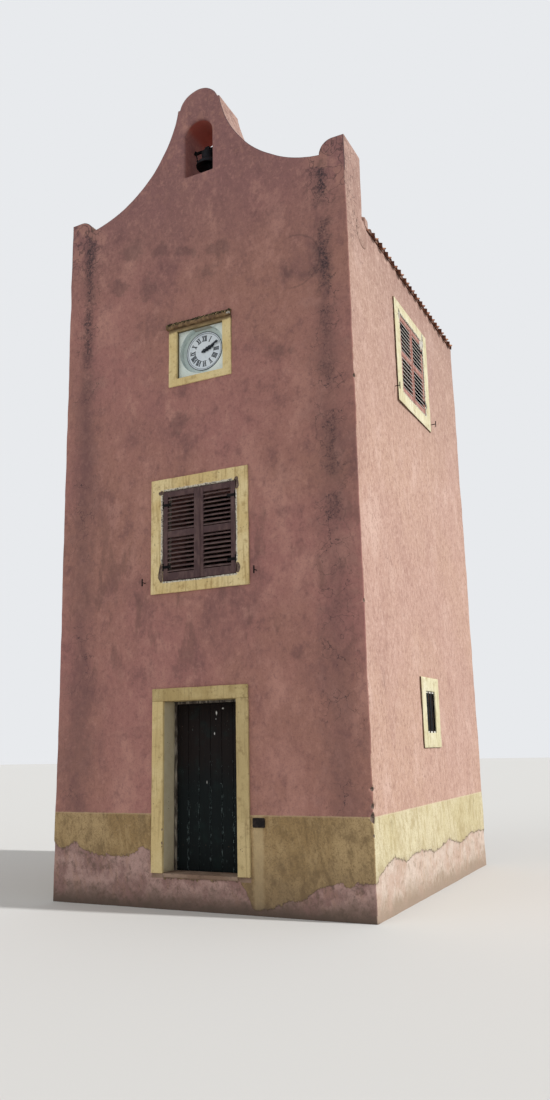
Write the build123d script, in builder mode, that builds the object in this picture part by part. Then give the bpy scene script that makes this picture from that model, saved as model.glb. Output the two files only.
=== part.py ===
"""A small masonry clock tower: rendered walls, a curved bell gable, a tiled roof behind it.

Units are millimetres. X runs along the front to the right, Y from the front to the back, and Z up.
The origin is the middle of the footprint, at the lowest point where the walls meet the ground.
"""

from build123d import *

from math import cos, radians, sin, tan
import os

os.makedirs("parts", exist_ok=True)

# Body of the tower
WIDTH = 4300
DEPTH = 4800
WALL = 560
HALF_W = WIDTH / 2
HALF_D = DEPTH / 2
INNER_X = HALF_W - WALL
INNER_Y = HALF_D - WALL
FACE_GAP = 5

# Roof
ROOF_PITCH = 24
EAVE_BED = 8400
DECK = 50
DECK_KERB = 60
EAVE_OVERHANG = 45
FLASHING = 110
FLASHING_RISE = 125
FLASHING_SHORT = 8
REAR_OVERHANG = 40
SWELLING_R = 205
SWELLING_MIDDLE = (-1885, 8262)
TILE_PITCH = 262
TILE_RISE = 52
TILE_SKIN = 16
TILE_SHARE = 0.36
RIDGE_GAP = 12
RIDGE_LIFT = 70
RIDGE_RADIUS = 95
RIDGE_SKIN = 16
SLOPE = tan(radians(ROOF_PITCH))
RIDGE_BED = EAVE_BED + HALF_W * SLOPE

# Levels
GABLE_FOOT = 8340
SILL = 400
FIRST_FLOOR = 3100
SECOND_FLOOR = 5800
BOARDS = 40
JOIST_W = 90
JOIST_H = 170
JOISTS = 6
BEAM_W = 90
BEAM_H = 200

# Door
DOOR_HALF = 505
DOOR_TOP = 2390
JAMB = 160
LINTEL = 155
STONE_PROUD = 25
DOOR_SET_BACK = 240
FRAME_SHOWN = 30
LEAF_SET_BACK = 10
REVEAL_HALF = 570
FRAME_DEPTH = 55
FRAME_HEAD = 85
LEAF = 40
LEDGE = 25
LEDGE_H = 120
BOARDS_PER_LEAF = 3
GROOVE_W = 6
GROOVE_D = 5
STRAP = 6
KNUCKLE_R = 12
PIN_R = 7
PIN_GAP = 0.5
KNUCKLE_H = 70
STRAP_LENGTH = 330
NOSING = 18
NOSING_H = 45
LOWER_HINGE = 260
UPPER_HINGE = 330
LEDGE_SHORT = (30, 10)
BRACKET_IN = 4
BRACKET_OUT = 26
BRACKET_BACK = 6
BRACKET_H = 20
BRACKET_DROP = 2
BOSS_R = 10
OVERCUT = 4

# Shuttered windows
OPENING_W = 1070
OPENING_H = 1180
FRONT_STONES = (1412, 1496)
FRONT_OPENING_UP = 150
SIDE_STONES = (1500, 1540)
SIDE_OPENING_UP = 197
SURROUND_PROUD = 22
SURROUND_DEPTH = 200
SHUTTER_T = 38
SHUTTER_PROUD = 12
SHUTTER_CLEAR = 8
SHUTTER_MEET = 2
STILE = 66
TOP_RAIL = 76
MID_RAIL = 84
MID_RAIL_UP = 15
BOTTOM_RAIL = 100
SLATS = 8
SLAT_T = 9
SLAT_DEEP = 42
SLAT_TILT = 40
BACKING = 10
HINGE_R = 9
HINGE_H = 95
HINGE_UP = 130
HINGE_IN = 2
MIDDLE_WINDOW_FOOT = 3727
UPPER_WINDOW_FOOT = 6380

# Small barred windows
SMALL_Y = -90
SMALL_W = 760
SMALL_H = 907
SMALL_FOOT = 1761
SMALL_OPEN_W = 400
SMALL_OPEN_H = 537
SMALL_OPEN_UP = 189
SMALL_PROUD = 18
SMALL_DEPTH = 150
BAR_R = 6
BARS = 2
BAR_PROUD = 7
CASEMENT_W = 22
CASEMENT_T = 30
GLASS = 10
GLASS_SET_BACK = 13

# Clock
CLOCK_X = 20
CLOCK_Z = 6947
CLOCK_HALF = 472
CLOCK_FOOT = 6475
CLOCK_TOP = 7290
CLOCK_OPENING = (696, 674)
CLOCK_OPENING_Z = 6914
CLOCK_PROUD = 20
NICHE_DEPTH = 200
BOARD_FACE = 45
DIAL_FACE = 120
RECESS_R = 330
DIAL_R = 268
DIAL_RIM = 10
RIM_PROUD = 6
DIAL_T = 25
DIAL_BORE = 12.5
HOOD_LEFT = 496
HOOD_RIGHT = 476
HOOD_PROUD = 60
HOOD_FRONT = 40
HOOD_RISE = 95
HAND_T = 5
HOUR_GAP = 8
MINUTE_GAP = 19
HOUR_LENGTH = 165
MINUTE_LENGTH = 232
HOUR_WIDTH = 54
MINUTE_WIDTH = 22
HAND_TIP = 6
HAND_TAIL = 40
TAIL_TAPER = 3
HOUR_HUB = 27
MINUTE_HUB = 18
TUBE_R = 12
ARBOR_R = 6
HOUR_NOW = 69
MINUTE_NOW = 66

# Gable over the front wall
POST_W = 350
POST_TOP = 9385
POST_ROUND = 185
SWEEP_MIDDLE = (790, 9730)
SHOULDER_HALF = 337
SHOULDER_Z = 10665
HEAD_R = 318
HEAD_Z = 10575
HEAD_MIDDLE = radians(40)
ARCH_R = 220
ARCH_SILL = 9550
ARCH_SPRING = 10170

# Bell: radius and height over the lip, from the lip up
BELL_SET_BACK = 270
BELL_Y = -HALF_D + BELL_SET_BACK
LIP_Z = 9810
LIP_R = 162
BELL_PROFILE = ((165, 22), (149, 52), (112, 88), (92, 122), (88, 160))
NECK_R = 87
NECK_TOP = 228
CROWN_R = 34
CROWN_TOP = 262
CROWN_ARC = (74, 250)
INNER_CROWN_ARC = (64, 238)
INNER_DROP = 4
BELL_SKIN = 13
BAR_Z = 10088
BAR = 30
YOKE = (64, 56, 66)
YOKE_DROP = 26
PIVOT_X = -180
HAMMER_GAP = 5
HAMMER_RING_R = 14
HAMMER_RING = 20
HAMMER_PIN_R = 6
HAMMER_PLAY = 2
ROD_IN_RING = 2
HAMMER_ROD_R = 7
HAMMER_REACH = (30, -153)
HAMMER_HEAD_R = 18
PIN_HEAD_R = 11
PIN_HEAD = 5

# Small things on the walls
PLATE = (776, 989)
PLATE_W = 152
PLATE_H = 105
PLATE_T = 12
PLATE_ROUND = 14
DOG_OUT = 65
DOG_R = 6
DOG_BAR = (16, 95, 8)
DOG_SIDE = 95
DOG_UP = 160

FRONT = Plane(origin=(0, -HALF_D, 0), x_dir=(1, 0, 0), z_dir=(0, -1, 0))
REAR = Plane(origin=(0, HALF_D, 0), x_dir=(-1, 0, 0), z_dir=(0, 1, 0))
RIGHT = Plane(origin=(HALF_W, 0, 0), x_dir=(0, 1, 0), z_dir=(1, 0, 0))
LEFT = Plane(origin=(-HALF_W, 0, 0), x_dir=(0, -1, 0), z_dir=(-1, 0, 0))


def save(builder, name):
    """Writes one finished piece under its own name."""
    builder.part.label = name
    export_step(builder.part, f"parts/{name}.step")
    return builder.part


def block(x, y, z, mode=Mode.ADD):
    """A box from its low and high limits along each axis of the builder."""
    with Locations(((x[0] + x[1]) / 2, (y[0] + y[1]) / 2, (z[0] + z[1]) / 2)):
        Box(x[1] - x[0], y[1] - y[0], z[1] - z[0], mode=mode)


def stepped_hole(face, outer, inner, foot, up, depth, across=0):
    """A hole through a wall: wide at the outside for the stone surround, narrower behind it."""
    with BuildSketch(face) as recess:
        with Locations((across, foot + outer[1] / 2)):
            Rectangle(*outer)
    extrude(recess.sketch, amount=-depth, mode=Mode.SUBTRACT)
    with BuildSketch(face) as passage:
        with Locations((across, foot + up + inner[1] / 2)):
            Rectangle(*inner)
    extrude(passage.sketch, amount=-WALL, mode=Mode.SUBTRACT)


def shutter_hole(face, stones, foot, up):
    """The hole for a shuttered window."""
    stepped_hole(face, stones, (OPENING_W, OPENING_H), foot, up, SURROUND_DEPTH)


def small_hole(face, across):
    """The hole for a small barred window."""
    stepped_hole(face, SMALL_OUTER, SMALL_INNER, SMALL_FOOT, SMALL_OPEN_UP, SMALL_DEPTH, across)


def roof_height(x):
    """Height of the tile bed at a distance from the middle of the tower."""
    return EAVE_BED + (HALF_W - abs(x)) * SLOPE


DECK_DROP = DECK / cos(radians(ROOF_PITCH))
SMALL_OUTER = (SMALL_W, SMALL_H)
SMALL_INNER = (SMALL_OPEN_W, SMALL_OPEN_H)

# Lower front wall, one slab each side of the doorway
DOOR_SIDE = DOOR_HALF + JAMB
LOWER_TOP = DOOR_TOP + LINTEL
STONE_BACK = -HALF_D + DOOR_SET_BACK

for name, side in (("front_wall_left", -1), ("front_wall_right", 1)):
    with BuildPart() as lower_wall:
        with BuildSketch() as plan:
            with BuildLine():
                Polyline(
                    (side * HALF_W, -HALF_D),
                    (side * DOOR_SIDE, -HALF_D),
                    (side * DOOR_SIDE, STONE_BACK),
                    (side * REVEAL_HALF, STONE_BACK),
                    (side * REVEAL_HALF, -INNER_Y),
                    (side * HALF_W, -INNER_Y),
                    close=True,
                )
            make_face()
        extrude(amount=LOWER_TOP)
    save(lower_wall, name)

# Upper front wall, with the window hole, the niche for the clock and a tongue over the door frame
FRAME_TOP = DOOR_TOP - FRAME_SHOWN + FRAME_HEAD

with BuildPart() as upper_wall:
    block((-HALF_W, HALF_W), (-HALF_D, -INNER_Y), (LOWER_TOP, GABLE_FOOT))
    block((-REVEAL_HALF, REVEAL_HALF), (STONE_BACK, -INNER_Y), (FRAME_TOP, LOWER_TOP))
    shutter_hole(FRONT, FRONT_STONES, MIDDLE_WINDOW_FOOT, FRONT_OPENING_UP)
    with BuildSketch(FRONT):
        with Locations((CLOCK_X, (CLOCK_FOOT + CLOCK_TOP) / 2)):
            Rectangle(2 * CLOCK_HALF, CLOCK_TOP - CLOCK_FOOT)
    extrude(amount=-NICHE_DEPTH, mode=Mode.SUBTRACT)
save(upper_wall, "front_wall_upper")

# Bell gable: posts with rounded tops, hollow sweeps, a round head and an arched opening
with BuildPart() as gable:
    with BuildSketch(FRONT):
        with BuildLine() as outline:
            post_inner = HALF_W - POST_W
            base = Line((0, GABLE_FOOT), (HALF_W, GABLE_FOOT))
            post = Line(base @ 1, (HALF_W, POST_TOP))
            top = Line(post @ 1, (post_inner + POST_ROUND, POST_TOP))
            corner = RadiusArc(top @ 1, (post_inner, POST_TOP - POST_ROUND), -POST_ROUND)
            sweep_up = ThreePointArc(corner @ 1, SWEEP_MIDDLE, (SHOULDER_HALF, SHOULDER_Z))
            head_side = (HEAD_R**2 - (SHOULDER_Z - HEAD_Z) ** 2) ** 0.5
            shoulder = Line(sweep_up @ 1, (head_side, SHOULDER_Z))
            head = ThreePointArc(
                shoulder @ 1,
                (HEAD_R * sin(HEAD_MIDDLE), HEAD_Z + HEAD_R * cos(HEAD_MIDDLE)),
                (0, HEAD_Z + HEAD_R),
            )
            mirror(about=Plane.YZ)
        make_face()
        with Locations((0, (ARCH_SILL + ARCH_SPRING) / 2)):
            Rectangle(2 * ARCH_R, ARCH_SPRING - ARCH_SILL, mode=Mode.SUBTRACT)
        with Locations((0, ARCH_SPRING)):
            Circle(ARCH_R, mode=Mode.SUBTRACT)
    extrude(amount=-WALL)
save(gable, "bell_gable")

# Side walls, with a sloping top that carries the roof deck behind a narrow kerb
for name, face, side in (("right_wall", RIGHT, 1), ("left_wall", LEFT, -1)):
    with BuildPart() as side_wall:
        with BuildSketch(Plane.XZ.offset(INNER_Y)):
            with BuildLine():
                kerb = HALF_W - DECK_KERB
                Polyline(
                    (side * INNER_X, 0),
                    (side * HALF_W, 0),
                    (side * HALF_W, EAVE_BED),
                    (side * kerb, roof_height(kerb)),
                    (side * kerb, roof_height(kerb) - DECK_DROP),
                    (side * INNER_X, roof_height(INNER_X) - DECK_DROP),
                    close=True,
                )
            make_face()
        extrude(amount=-2 * INNER_Y)
        shutter_hole(face, SIDE_STONES, UPPER_WINDOW_FOOT, SIDE_OPENING_UP)
        small_hole(face, side * SMALL_Y)
    save(side_wall, name)

# Rear wall, with a plain gable under the tiles
with BuildPart() as rear_wall:
    with BuildSketch(REAR):
        with BuildLine():
            Polyline(
                (-HALF_W, 0),
                (HALF_W, 0),
                (HALF_W, EAVE_BED),
                (0, RIDGE_BED),
                (-HALF_W, EAVE_BED),
                close=True,
            )
        make_face()
    extrude(amount=-WALL)
    shutter_hole(REAR, FRONT_STONES, MIDDLE_WINDOW_FOOT, FRONT_OPENING_UP)
save(rear_wall, "rear_wall")

# Floors: a filled ground floor, and boards on joists above it
with BuildPart() as ground_floor:
    block((-INNER_X, INNER_X), (-INNER_Y, INNER_Y), (0, SILL))
save(ground_floor, "ground_floor")

for name, level in (("first_floor", FIRST_FLOOR), ("second_floor", SECOND_FLOOR)):
    with BuildPart() as floor:
        block((-INNER_X, INNER_X), (-INNER_Y, INNER_Y), (level - BOARDS, level))
        with Locations((0, 0, level - BOARDS - JOIST_H / 2)):
            with GridLocations(0, 2 * INNER_Y / JOISTS, 1, JOISTS):
                Box(2 * INNER_X, JOIST_W, JOIST_H)
    save(floor, name)

# Threshold block under the door
with BuildPart() as threshold:
    with BuildSketch():
        with BuildLine():
            Polyline(
                (-DOOR_SIDE, -HALF_D),
                (DOOR_SIDE, -HALF_D),
                (DOOR_SIDE, STONE_BACK),
                (REVEAL_HALF, STONE_BACK),
                (REVEAL_HALF, -INNER_Y),
                (-REVEAL_HALF, -INNER_Y),
                (-REVEAL_HALF, STONE_BACK),
                (-DOOR_SIDE, STONE_BACK),
                close=True,
            )
        make_face()
    extrude(amount=SILL)
    block((-DOOR_HALF, DOOR_HALF), (-HALF_D - NOSING, -HALF_D), (SILL - NOSING_H, SILL))
save(threshold, "door_threshold")

# Stone door surround
for name, side in (("door_jamb_left", -1), ("door_jamb_right", 1)):
    low, high = sorted((side * DOOR_HALF, side * DOOR_SIDE))
    with BuildPart() as jamb:
        block((low, high), (-HALF_D - STONE_PROUD, STONE_BACK), (SILL, DOOR_TOP))
    save(jamb, name)
with BuildPart() as lintel:
    block((-DOOR_SIDE, DOOR_SIDE), (-HALF_D - STONE_PROUD, STONE_BACK), (DOOR_TOP, LOWER_TOP))
save(lintel, "door_lintel")

# Door frame behind the stones, with the pins that the leaves hang on
FRAME_HALF = DOOR_HALF - FRAME_SHOWN
FRAME_BACK = STONE_BACK + FRAME_DEPTH
LEAF_FRONT = STONE_BACK + LEAF_SET_BACK
LEAF_BACK = LEAF_FRONT + LEAF
PIN_Y = LEAF_BACK + LEDGE + KNUCKLE_R
PIN_X = FRAME_HALF - FACE_GAP
KNUCKLES = (SILL + LOWER_HINGE, DOOR_TOP - UPPER_HINGE)

with BuildPart() as frame:
    with BuildSketch(Plane.XZ.offset(-STONE_BACK)):
        with Locations((0, (SILL + FRAME_TOP) / 2)):
            Rectangle(2 * REVEAL_HALF, FRAME_TOP - SILL)
        with Locations((0, (SILL + DOOR_TOP - FRAME_SHOWN) / 2)):
            Rectangle(2 * FRAME_HALF, DOOR_TOP - FRAME_SHOWN - SILL, mode=Mode.SUBTRACT)
    extrude(amount=-FRAME_DEPTH)
    for side in (-1, 1):
        for height in KNUCKLES:
            low, high = sorted((side * (PIN_X + BRACKET_IN), side * (PIN_X + BRACKET_OUT)))
            bracket_top = height - BRACKET_DROP
            block((low, high), (FRAME_BACK, PIN_Y + BRACKET_BACK), (bracket_top - BRACKET_H, bracket_top))
            with Locations((side * PIN_X, PIN_Y, bracket_top - BRACKET_H / 2)):
                Cylinder(BOSS_R, BRACKET_H)
            with Locations((side * PIN_X, PIN_Y, (bracket_top + height + KNUCKLE_H) / 2)):
                Cylinder(PIN_R, KNUCKLE_H + BRACKET_DROP)
save(frame, "door_frame")

# Door leaves: three boards each, ledges and iron straps behind
LEAF_FOOT = SILL + FACE_GAP
LEAF_TOP = DOOR_TOP - FRAME_SHOWN - FACE_GAP
LEAF_INNER = FACE_GAP / 2
LEAF_W = PIN_X - LEAF_INNER

for name, side in (("door_leaf_left", -1), ("door_leaf_right", 1)):
    low, high = sorted((side * LEAF_INNER, side * PIN_X))
    ledge_low, ledge_high = sorted((side * (LEAF_INNER + LEDGE_SHORT[0]), side * (PIN_X - LEDGE_SHORT[1])))
    with BuildPart() as leaf:
        block((low, high), (LEAF_FRONT, LEAF_BACK), (LEAF_FOOT, LEAF_TOP))
        for i in range(1, BOARDS_PER_LEAF):
            groove = low + i * LEAF_W / BOARDS_PER_LEAF
            block(
                (groove - GROOVE_W / 2, groove + GROOVE_W / 2),
                (LEAF_FRONT, LEAF_FRONT + GROOVE_D),
                (LEAF_FOOT, LEAF_TOP),
                Mode.SUBTRACT,
            )
        ledge_levels = (*(height + KNUCKLE_H / 2 for height in KNUCKLES), (LEAF_FOOT + LEAF_TOP) / 2)
        for level in ledge_levels:
            block(
                (ledge_low, ledge_high),
                (LEAF_BACK, LEAF_BACK + LEDGE),
                (level - LEDGE_H / 2, level + LEDGE_H / 2),
            )
        for height in KNUCKLES:
            strap_low, strap_high = sorted((side * PIN_X, side * (PIN_X - STRAP_LENGTH)))
            strap_y = LEAF_BACK + LEDGE
            block((strap_low, strap_high), (strap_y, strap_y + STRAP), (height, height + KNUCKLE_H))
            with Locations((side * PIN_X, PIN_Y, height + KNUCKLE_H / 2)):
                Cylinder(KNUCKLE_R, KNUCKLE_H)
                Cylinder(PIN_R + PIN_GAP, KNUCKLE_H + OVERCUT, mode=Mode.SUBTRACT)
    save(leaf, name)


def window_surround(face, foot, outer, inner, up, proud, depth, across=0):
    """A stone frame round a window, standing proud of the wall."""
    with BuildPart() as surround:
        with BuildSketch(face.offset(proud)):
            with Locations((across, foot + outer[1] / 2)):
                Rectangle(*outer)
            with Locations((across, foot + up + inner[1] / 2)):
                Rectangle(*inner, mode=Mode.SUBTRACT)
        extrude(amount=-(proud + depth))
    return surround


def shutter(face, opening_foot, side):
    """One louvred leaf, closed, with its hinge barrels on the outer edge."""
    low_z = opening_foot + SHUTTER_CLEAR
    high_z = opening_foot + OPENING_H - SHUTTER_CLEAR
    outer_edge = OPENING_W / 2 - SHUTTER_CLEAR
    low_x, high_x = sorted((side * SHUTTER_MEET, side * outer_edge))
    bay_x = (low_x + STILE, high_x - STILE)
    out = SHUTTER_PROUD
    back = SHUTTER_PROUD - SHUTTER_T
    core = back + SHUTTER_T / 2
    middle = (low_z + high_z) / 2 + MID_RAIL_UP
    bays = (
        (low_z + BOTTOM_RAIL, middle - MID_RAIL / 2),
        (middle + MID_RAIL / 2, high_z - TOP_RAIL),
    )
    with BuildPart(face) as leaf:
        block((low_x, high_x), (low_z, high_z), (back, out))
        for low_bay, high_bay in bays:
            block(bay_x, (low_bay, high_bay), (back, out), Mode.SUBTRACT)
        for low_bay, high_bay in bays:
            block(bay_x, (low_bay, high_bay), (core - BACKING / 2, core + BACKING / 2))
            step = (high_bay - low_bay) / SLATS
            for i in range(SLATS):
                spot = ((low_x + high_x) / 2, low_bay + (i + 0.5) * step, core)
                with Locations(Location(spot, (SLAT_TILT, 0, 0))):
                    Box(bay_x[1] - bay_x[0], SLAT_T, SLAT_DEEP)
        for height in (low_z + HINGE_UP, high_z - HINGE_UP - HINGE_H):
            spot = (side * (outer_edge - HINGE_IN), height + HINGE_H / 2, out)
            with Locations(Location(spot, (90, 0, 0))):
                Cylinder(HINGE_R, HINGE_H)
    return leaf


# Shuttered windows: front and rear at the middle storey, both sides at the upper one
SHUTTERED = (
    ("front", FRONT, FRONT_STONES, MIDDLE_WINDOW_FOOT, FRONT_OPENING_UP),
    ("rear", REAR, FRONT_STONES, MIDDLE_WINDOW_FOOT, FRONT_OPENING_UP),
    ("right", RIGHT, SIDE_STONES, UPPER_WINDOW_FOOT, SIDE_OPENING_UP),
    ("left", LEFT, SIDE_STONES, UPPER_WINDOW_FOOT, SIDE_OPENING_UP),
)
for wall_name, face, stones, foot, up in SHUTTERED:
    surround = window_surround(
        face, foot, stones, (OPENING_W, OPENING_H), up, SURROUND_PROUD, SURROUND_DEPTH
    )
    save(surround, f"{wall_name}_window_surround")
    save(shutter(face, foot + up, -1), f"{wall_name}_shutter_left")
    save(shutter(face, foot + up, 1), f"{wall_name}_shutter_right")

# Small barred windows, low on both sides, each with a glazed casement behind the bars
SMALL_WINDOWS = (("right", RIGHT, 1), ("left", LEFT, -1))
SMALL_MIDDLE = SMALL_FOOT + SMALL_OPEN_UP + SMALL_OPEN_H / 2
PANE = (SMALL_OPEN_W - 2 * CASEMENT_W, SMALL_OPEN_H - 2 * CASEMENT_W)

for wall_name, face, side in SMALL_WINDOWS:
    surround = window_surround(
        face, SMALL_FOOT, SMALL_OUTER, SMALL_INNER, SMALL_OPEN_UP, SMALL_PROUD, SMALL_DEPTH, side * SMALL_Y
    )
    save(surround, f"{wall_name}_small_window_surround")

with BuildPart() as casements:
    for _, face, side in SMALL_WINDOWS:
        with BuildSketch(face):
            with Locations((side * SMALL_Y, SMALL_MIDDLE)):
                Rectangle(*SMALL_INNER)
                Rectangle(*PANE, mode=Mode.SUBTRACT)
        extrude(amount=-CASEMENT_T)
save(casements, "small_window_casements")

with BuildPart() as glass:
    for side in (-1, 1):
        with Locations((side * (HALF_W - GLASS_SET_BACK), SMALL_Y, SMALL_MIDDLE)):
            Box(GLASS, *PANE)
save(glass, "small_window_glass")

with BuildPart() as bars:
    for side in (-1, 1):
        with Locations((side * (HALF_W + BAR_PROUD), SMALL_Y, SMALL_MIDDLE)):
            with GridLocations(0, SMALL_OPEN_W / (BARS + 1), 1, BARS):
                Cylinder(BAR_R, SMALL_OPEN_H)
save(bars, "small_window_bars")

# Clock: stone surround, hood, white board with a round recess, dial and hands
with BuildPart() as clock_surround:
    with BuildSketch(FRONT.offset(CLOCK_PROUD)):
        with Locations((CLOCK_X, (CLOCK_FOOT + CLOCK_TOP) / 2)):
            Rectangle(2 * CLOCK_HALF, CLOCK_TOP - CLOCK_FOOT)
        with Locations((CLOCK_X, CLOCK_OPENING_Z)):
            Rectangle(*CLOCK_OPENING, mode=Mode.SUBTRACT)
    extrude(amount=-(CLOCK_PROUD + NICHE_DEPTH))
save(clock_surround, "clock_surround")

with BuildPart() as hood:
    with BuildSketch(Plane.YZ.offset(CLOCK_X - HOOD_LEFT)):
        with BuildLine():
            Polyline(
                (-HALF_D, CLOCK_TOP),
                (-HALF_D - HOOD_PROUD, CLOCK_TOP),
                (-HALF_D - HOOD_PROUD, CLOCK_TOP + HOOD_FRONT),
                (-HALF_D, CLOCK_TOP + HOOD_RISE),
                close=True,
            )
        make_face()
    extrude(amount=HOOD_LEFT + HOOD_RIGHT)
save(hood, "clock_hood")

with BuildPart() as board:
    with BuildSketch(FRONT.offset(-BOARD_FACE)):
        with Locations((CLOCK_X, CLOCK_OPENING_Z)):
            Rectangle(*CLOCK_OPENING)
        with Locations((CLOCK_X, CLOCK_Z)):
            Circle(RECESS_R, mode=Mode.SUBTRACT)
    extrude(amount=-(DIAL_FACE - BOARD_FACE))
save(board, "clock_board")

DIAL_PLANE = Plane(origin=(CLOCK_X, -HALF_D + DIAL_FACE, CLOCK_Z), x_dir=(1, 0, 0), z_dir=(0, -1, 0))
with BuildPart() as dial:
    with BuildSketch(DIAL_PLANE):
        with Locations((0, CLOCK_OPENING_Z - CLOCK_Z)):
            Rectangle(*CLOCK_OPENING)
        Circle(DIAL_BORE, mode=Mode.SUBTRACT)
    extrude(amount=-DIAL_T)
    with BuildSketch(DIAL_PLANE):
        Circle(DIAL_R)
        Circle(DIAL_R - DIAL_RIM, mode=Mode.SUBTRACT)
    extrude(amount=RIM_PROUD)
save(dial, "clock_dial")


def clock_hand(gap, angle, length, width, hub):
    """The flat part of a hand: a tapering blade with a short tail and a round hub."""
    turn = radians(angle)
    tail = width / TAIL_TAPER
    hand_plane = Plane(
        origin=DIAL_PLANE.offset(gap).origin, x_dir=(cos(turn), 0, -sin(turn)), z_dir=DIAL_PLANE.z_dir
    )
    with BuildSketch(hand_plane) as hand:
        with BuildLine():
            Polyline(
                (-width / 2, 0),
                (-HAND_TIP / 2, length),
                (HAND_TIP / 2, length),
                (width / 2, 0),
                (tail, -HAND_TAIL),
                (-tail, -HAND_TAIL),
                close=True,
            )
        make_face()
        Circle(hub)
    extrude(hand.sketch, amount=HAND_T)


with BuildPart() as hour_hand:
    clock_hand(HOUR_GAP, HOUR_NOW, HOUR_LENGTH, HOUR_WIDTH, HOUR_HUB)
    with BuildSketch(DIAL_PLANE.offset(HOUR_GAP)):
        Circle(TUBE_R)
    extrude(amount=-(HOUR_GAP + DIAL_T))
    with BuildSketch(DIAL_PLANE.offset(HOUR_GAP + HAND_T)):
        Circle(ARBOR_R + PIN_GAP)
    extrude(amount=-(HOUR_GAP + HAND_T + DIAL_T), mode=Mode.SUBTRACT)
save(hour_hand, "hour_hand")

with BuildPart() as minute_hand:
    clock_hand(MINUTE_GAP, MINUTE_NOW, MINUTE_LENGTH, MINUTE_WIDTH, MINUTE_HUB)
    with BuildSketch(DIAL_PLANE.offset(MINUTE_GAP)):
        Circle(ARBOR_R)
    extrude(amount=-(MINUTE_GAP + DIAL_T))
save(minute_hand, "minute_hand")

# Bell, the bar it hangs from, and the striking hammer
BELL_AXIS = Axis((0, BELL_Y, 0), (0, 0, 1))
bell_plane = Plane(origin=(0, BELL_Y, LIP_Z), x_dir=(1, 0, 0), z_dir=(0, -1, 0))
with BuildPart() as bell:
    with BuildSketch(bell_plane):
        with BuildLine():
            flare = Spline((LIP_R, 0), *BELL_PROFILE, (NECK_R, NECK_TOP))
            crown = ThreePointArc(flare @ 1, CROWN_ARC, (CROWN_R, CROWN_TOP))
            top = Line(crown @ 1, (0, CROWN_TOP))
            down = Line(top @ 1, (0, CROWN_TOP - BELL_SKIN))
            inner_top = Line(down @ 1, (CROWN_R, CROWN_TOP - BELL_SKIN))
            neck_inner = (NECK_R - BELL_SKIN, NECK_TOP - BELL_SKIN)
            inner_crown = ThreePointArc(inner_top @ 1, INNER_CROWN_ARC, neck_inner)
            inner_flare = Spline(
                inner_crown @ 1,
                *((radius - BELL_SKIN, height - INNER_DROP) for radius, height in reversed(BELL_PROFILE)),
                (LIP_R - BELL_SKIN, 0),
            )
            Line(inner_flare @ 1, flare @ 0)
        make_face()
    revolve(axis=BELL_AXIS)
    with Locations((0, BELL_Y, BAR_Z + YOKE[2] / 2 - YOKE_DROP)):
        Box(*YOKE)
    block(
        (-YOKE[0], YOKE[0]),
        (BELL_Y - BAR / 2, BELL_Y + BAR / 2),
        (BAR_Z - BAR / 2, BAR_Z + BAR / 2),
        Mode.SUBTRACT,
    )
save(bell, "bell")

BAR_FRONT = BELL_Y - BAR / 2
RING_Y = BAR_FRONT - HAMMER_GAP - HAMMER_RING / 2
PIN_END = RING_Y - HAMMER_RING / 2 - HAMMER_PLAY - PIN_HEAD
bar_front_plane = Plane(origin=(PIVOT_X, BAR_FRONT, BAR_Z), x_dir=(1, 0, 0), z_dir=(0, -1, 0))
with BuildPart() as crossbar:
    block((-ARCH_R, ARCH_R), (BAR_FRONT, BELL_Y + BAR / 2), (BAR_Z - BAR / 2, BAR_Z + BAR / 2))
    with BuildSketch(bar_front_plane):
        Circle(HAMMER_PIN_R)
    extrude(amount=BAR_FRONT - PIN_END)
    with BuildSketch(bar_front_plane.offset(BAR_FRONT - PIN_END - PIN_HEAD)):
        Circle(PIN_HEAD_R)
    extrude(amount=PIN_HEAD)
save(crossbar, "bell_crossbar")

with BuildPart() as hammer:
    pivot = Vector(PIVOT_X, RING_Y, BAR_Z)
    rod = Vector(HAMMER_REACH[0], 0, HAMMER_REACH[1])
    with BuildSketch(Plane(origin=pivot, z_dir=rod).offset(HAMMER_RING_R - ROD_IN_RING)):
        Circle(HAMMER_ROD_R)
    extrude(amount=rod.length - HAMMER_RING_R)
    with BuildSketch(bar_front_plane.offset(HAMMER_GAP)):
        Circle(HAMMER_RING_R)
        Circle(HAMMER_PIN_R + PIN_GAP, mode=Mode.SUBTRACT)
    extrude(amount=HAMMER_RING)
    with Locations(pivot + rod):
        Sphere(HAMMER_HEAD_R)
save(hammer, "bell_hammer")

# Roof: ridge beam, boarded decks, tile fields, mortar flashing and ridge tiles
PITCH = radians(ROOF_PITCH)
with BuildPart() as ridge_beam:
    beam_top = RIDGE_BED - DECK_DROP - BEAM_W / 2 * SLOPE
    block((-BEAM_W / 2, BEAM_W / 2), (-INNER_Y, INNER_Y), (beam_top - BEAM_H, beam_top))
save(ridge_beam, "ridge_beam")

for name, side in (("roof_deck_right", 1), ("roof_deck_left", -1)):
    kerb = HALF_W - DECK_KERB
    with BuildPart() as deck:
        with BuildSketch(Plane.XZ.offset(INNER_Y)):
            with BuildLine():
                Polyline(
                    (0, RIDGE_BED),
                    (side * kerb, roof_height(kerb)),
                    (side * kerb, roof_height(kerb) - DECK_DROP),
                    (0, RIDGE_BED - DECK_DROP),
                    close=True,
                )
            make_face()
        extrude(amount=-2 * INNER_Y)
    save(deck, name)

FIELD_FRONT = -INNER_Y + FLASHING
FIELD_BACK = HALF_D + REAR_OVERHANG
ROWS = round((FIELD_BACK - FIELD_FRONT) / TILE_PITCH)
ROW = (FIELD_BACK - FIELD_FRONT) / ROWS
SLOPE_LENGTH = (HALF_W + EAVE_OVERHANG) / cos(PITCH) - RIDGE_GAP


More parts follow.
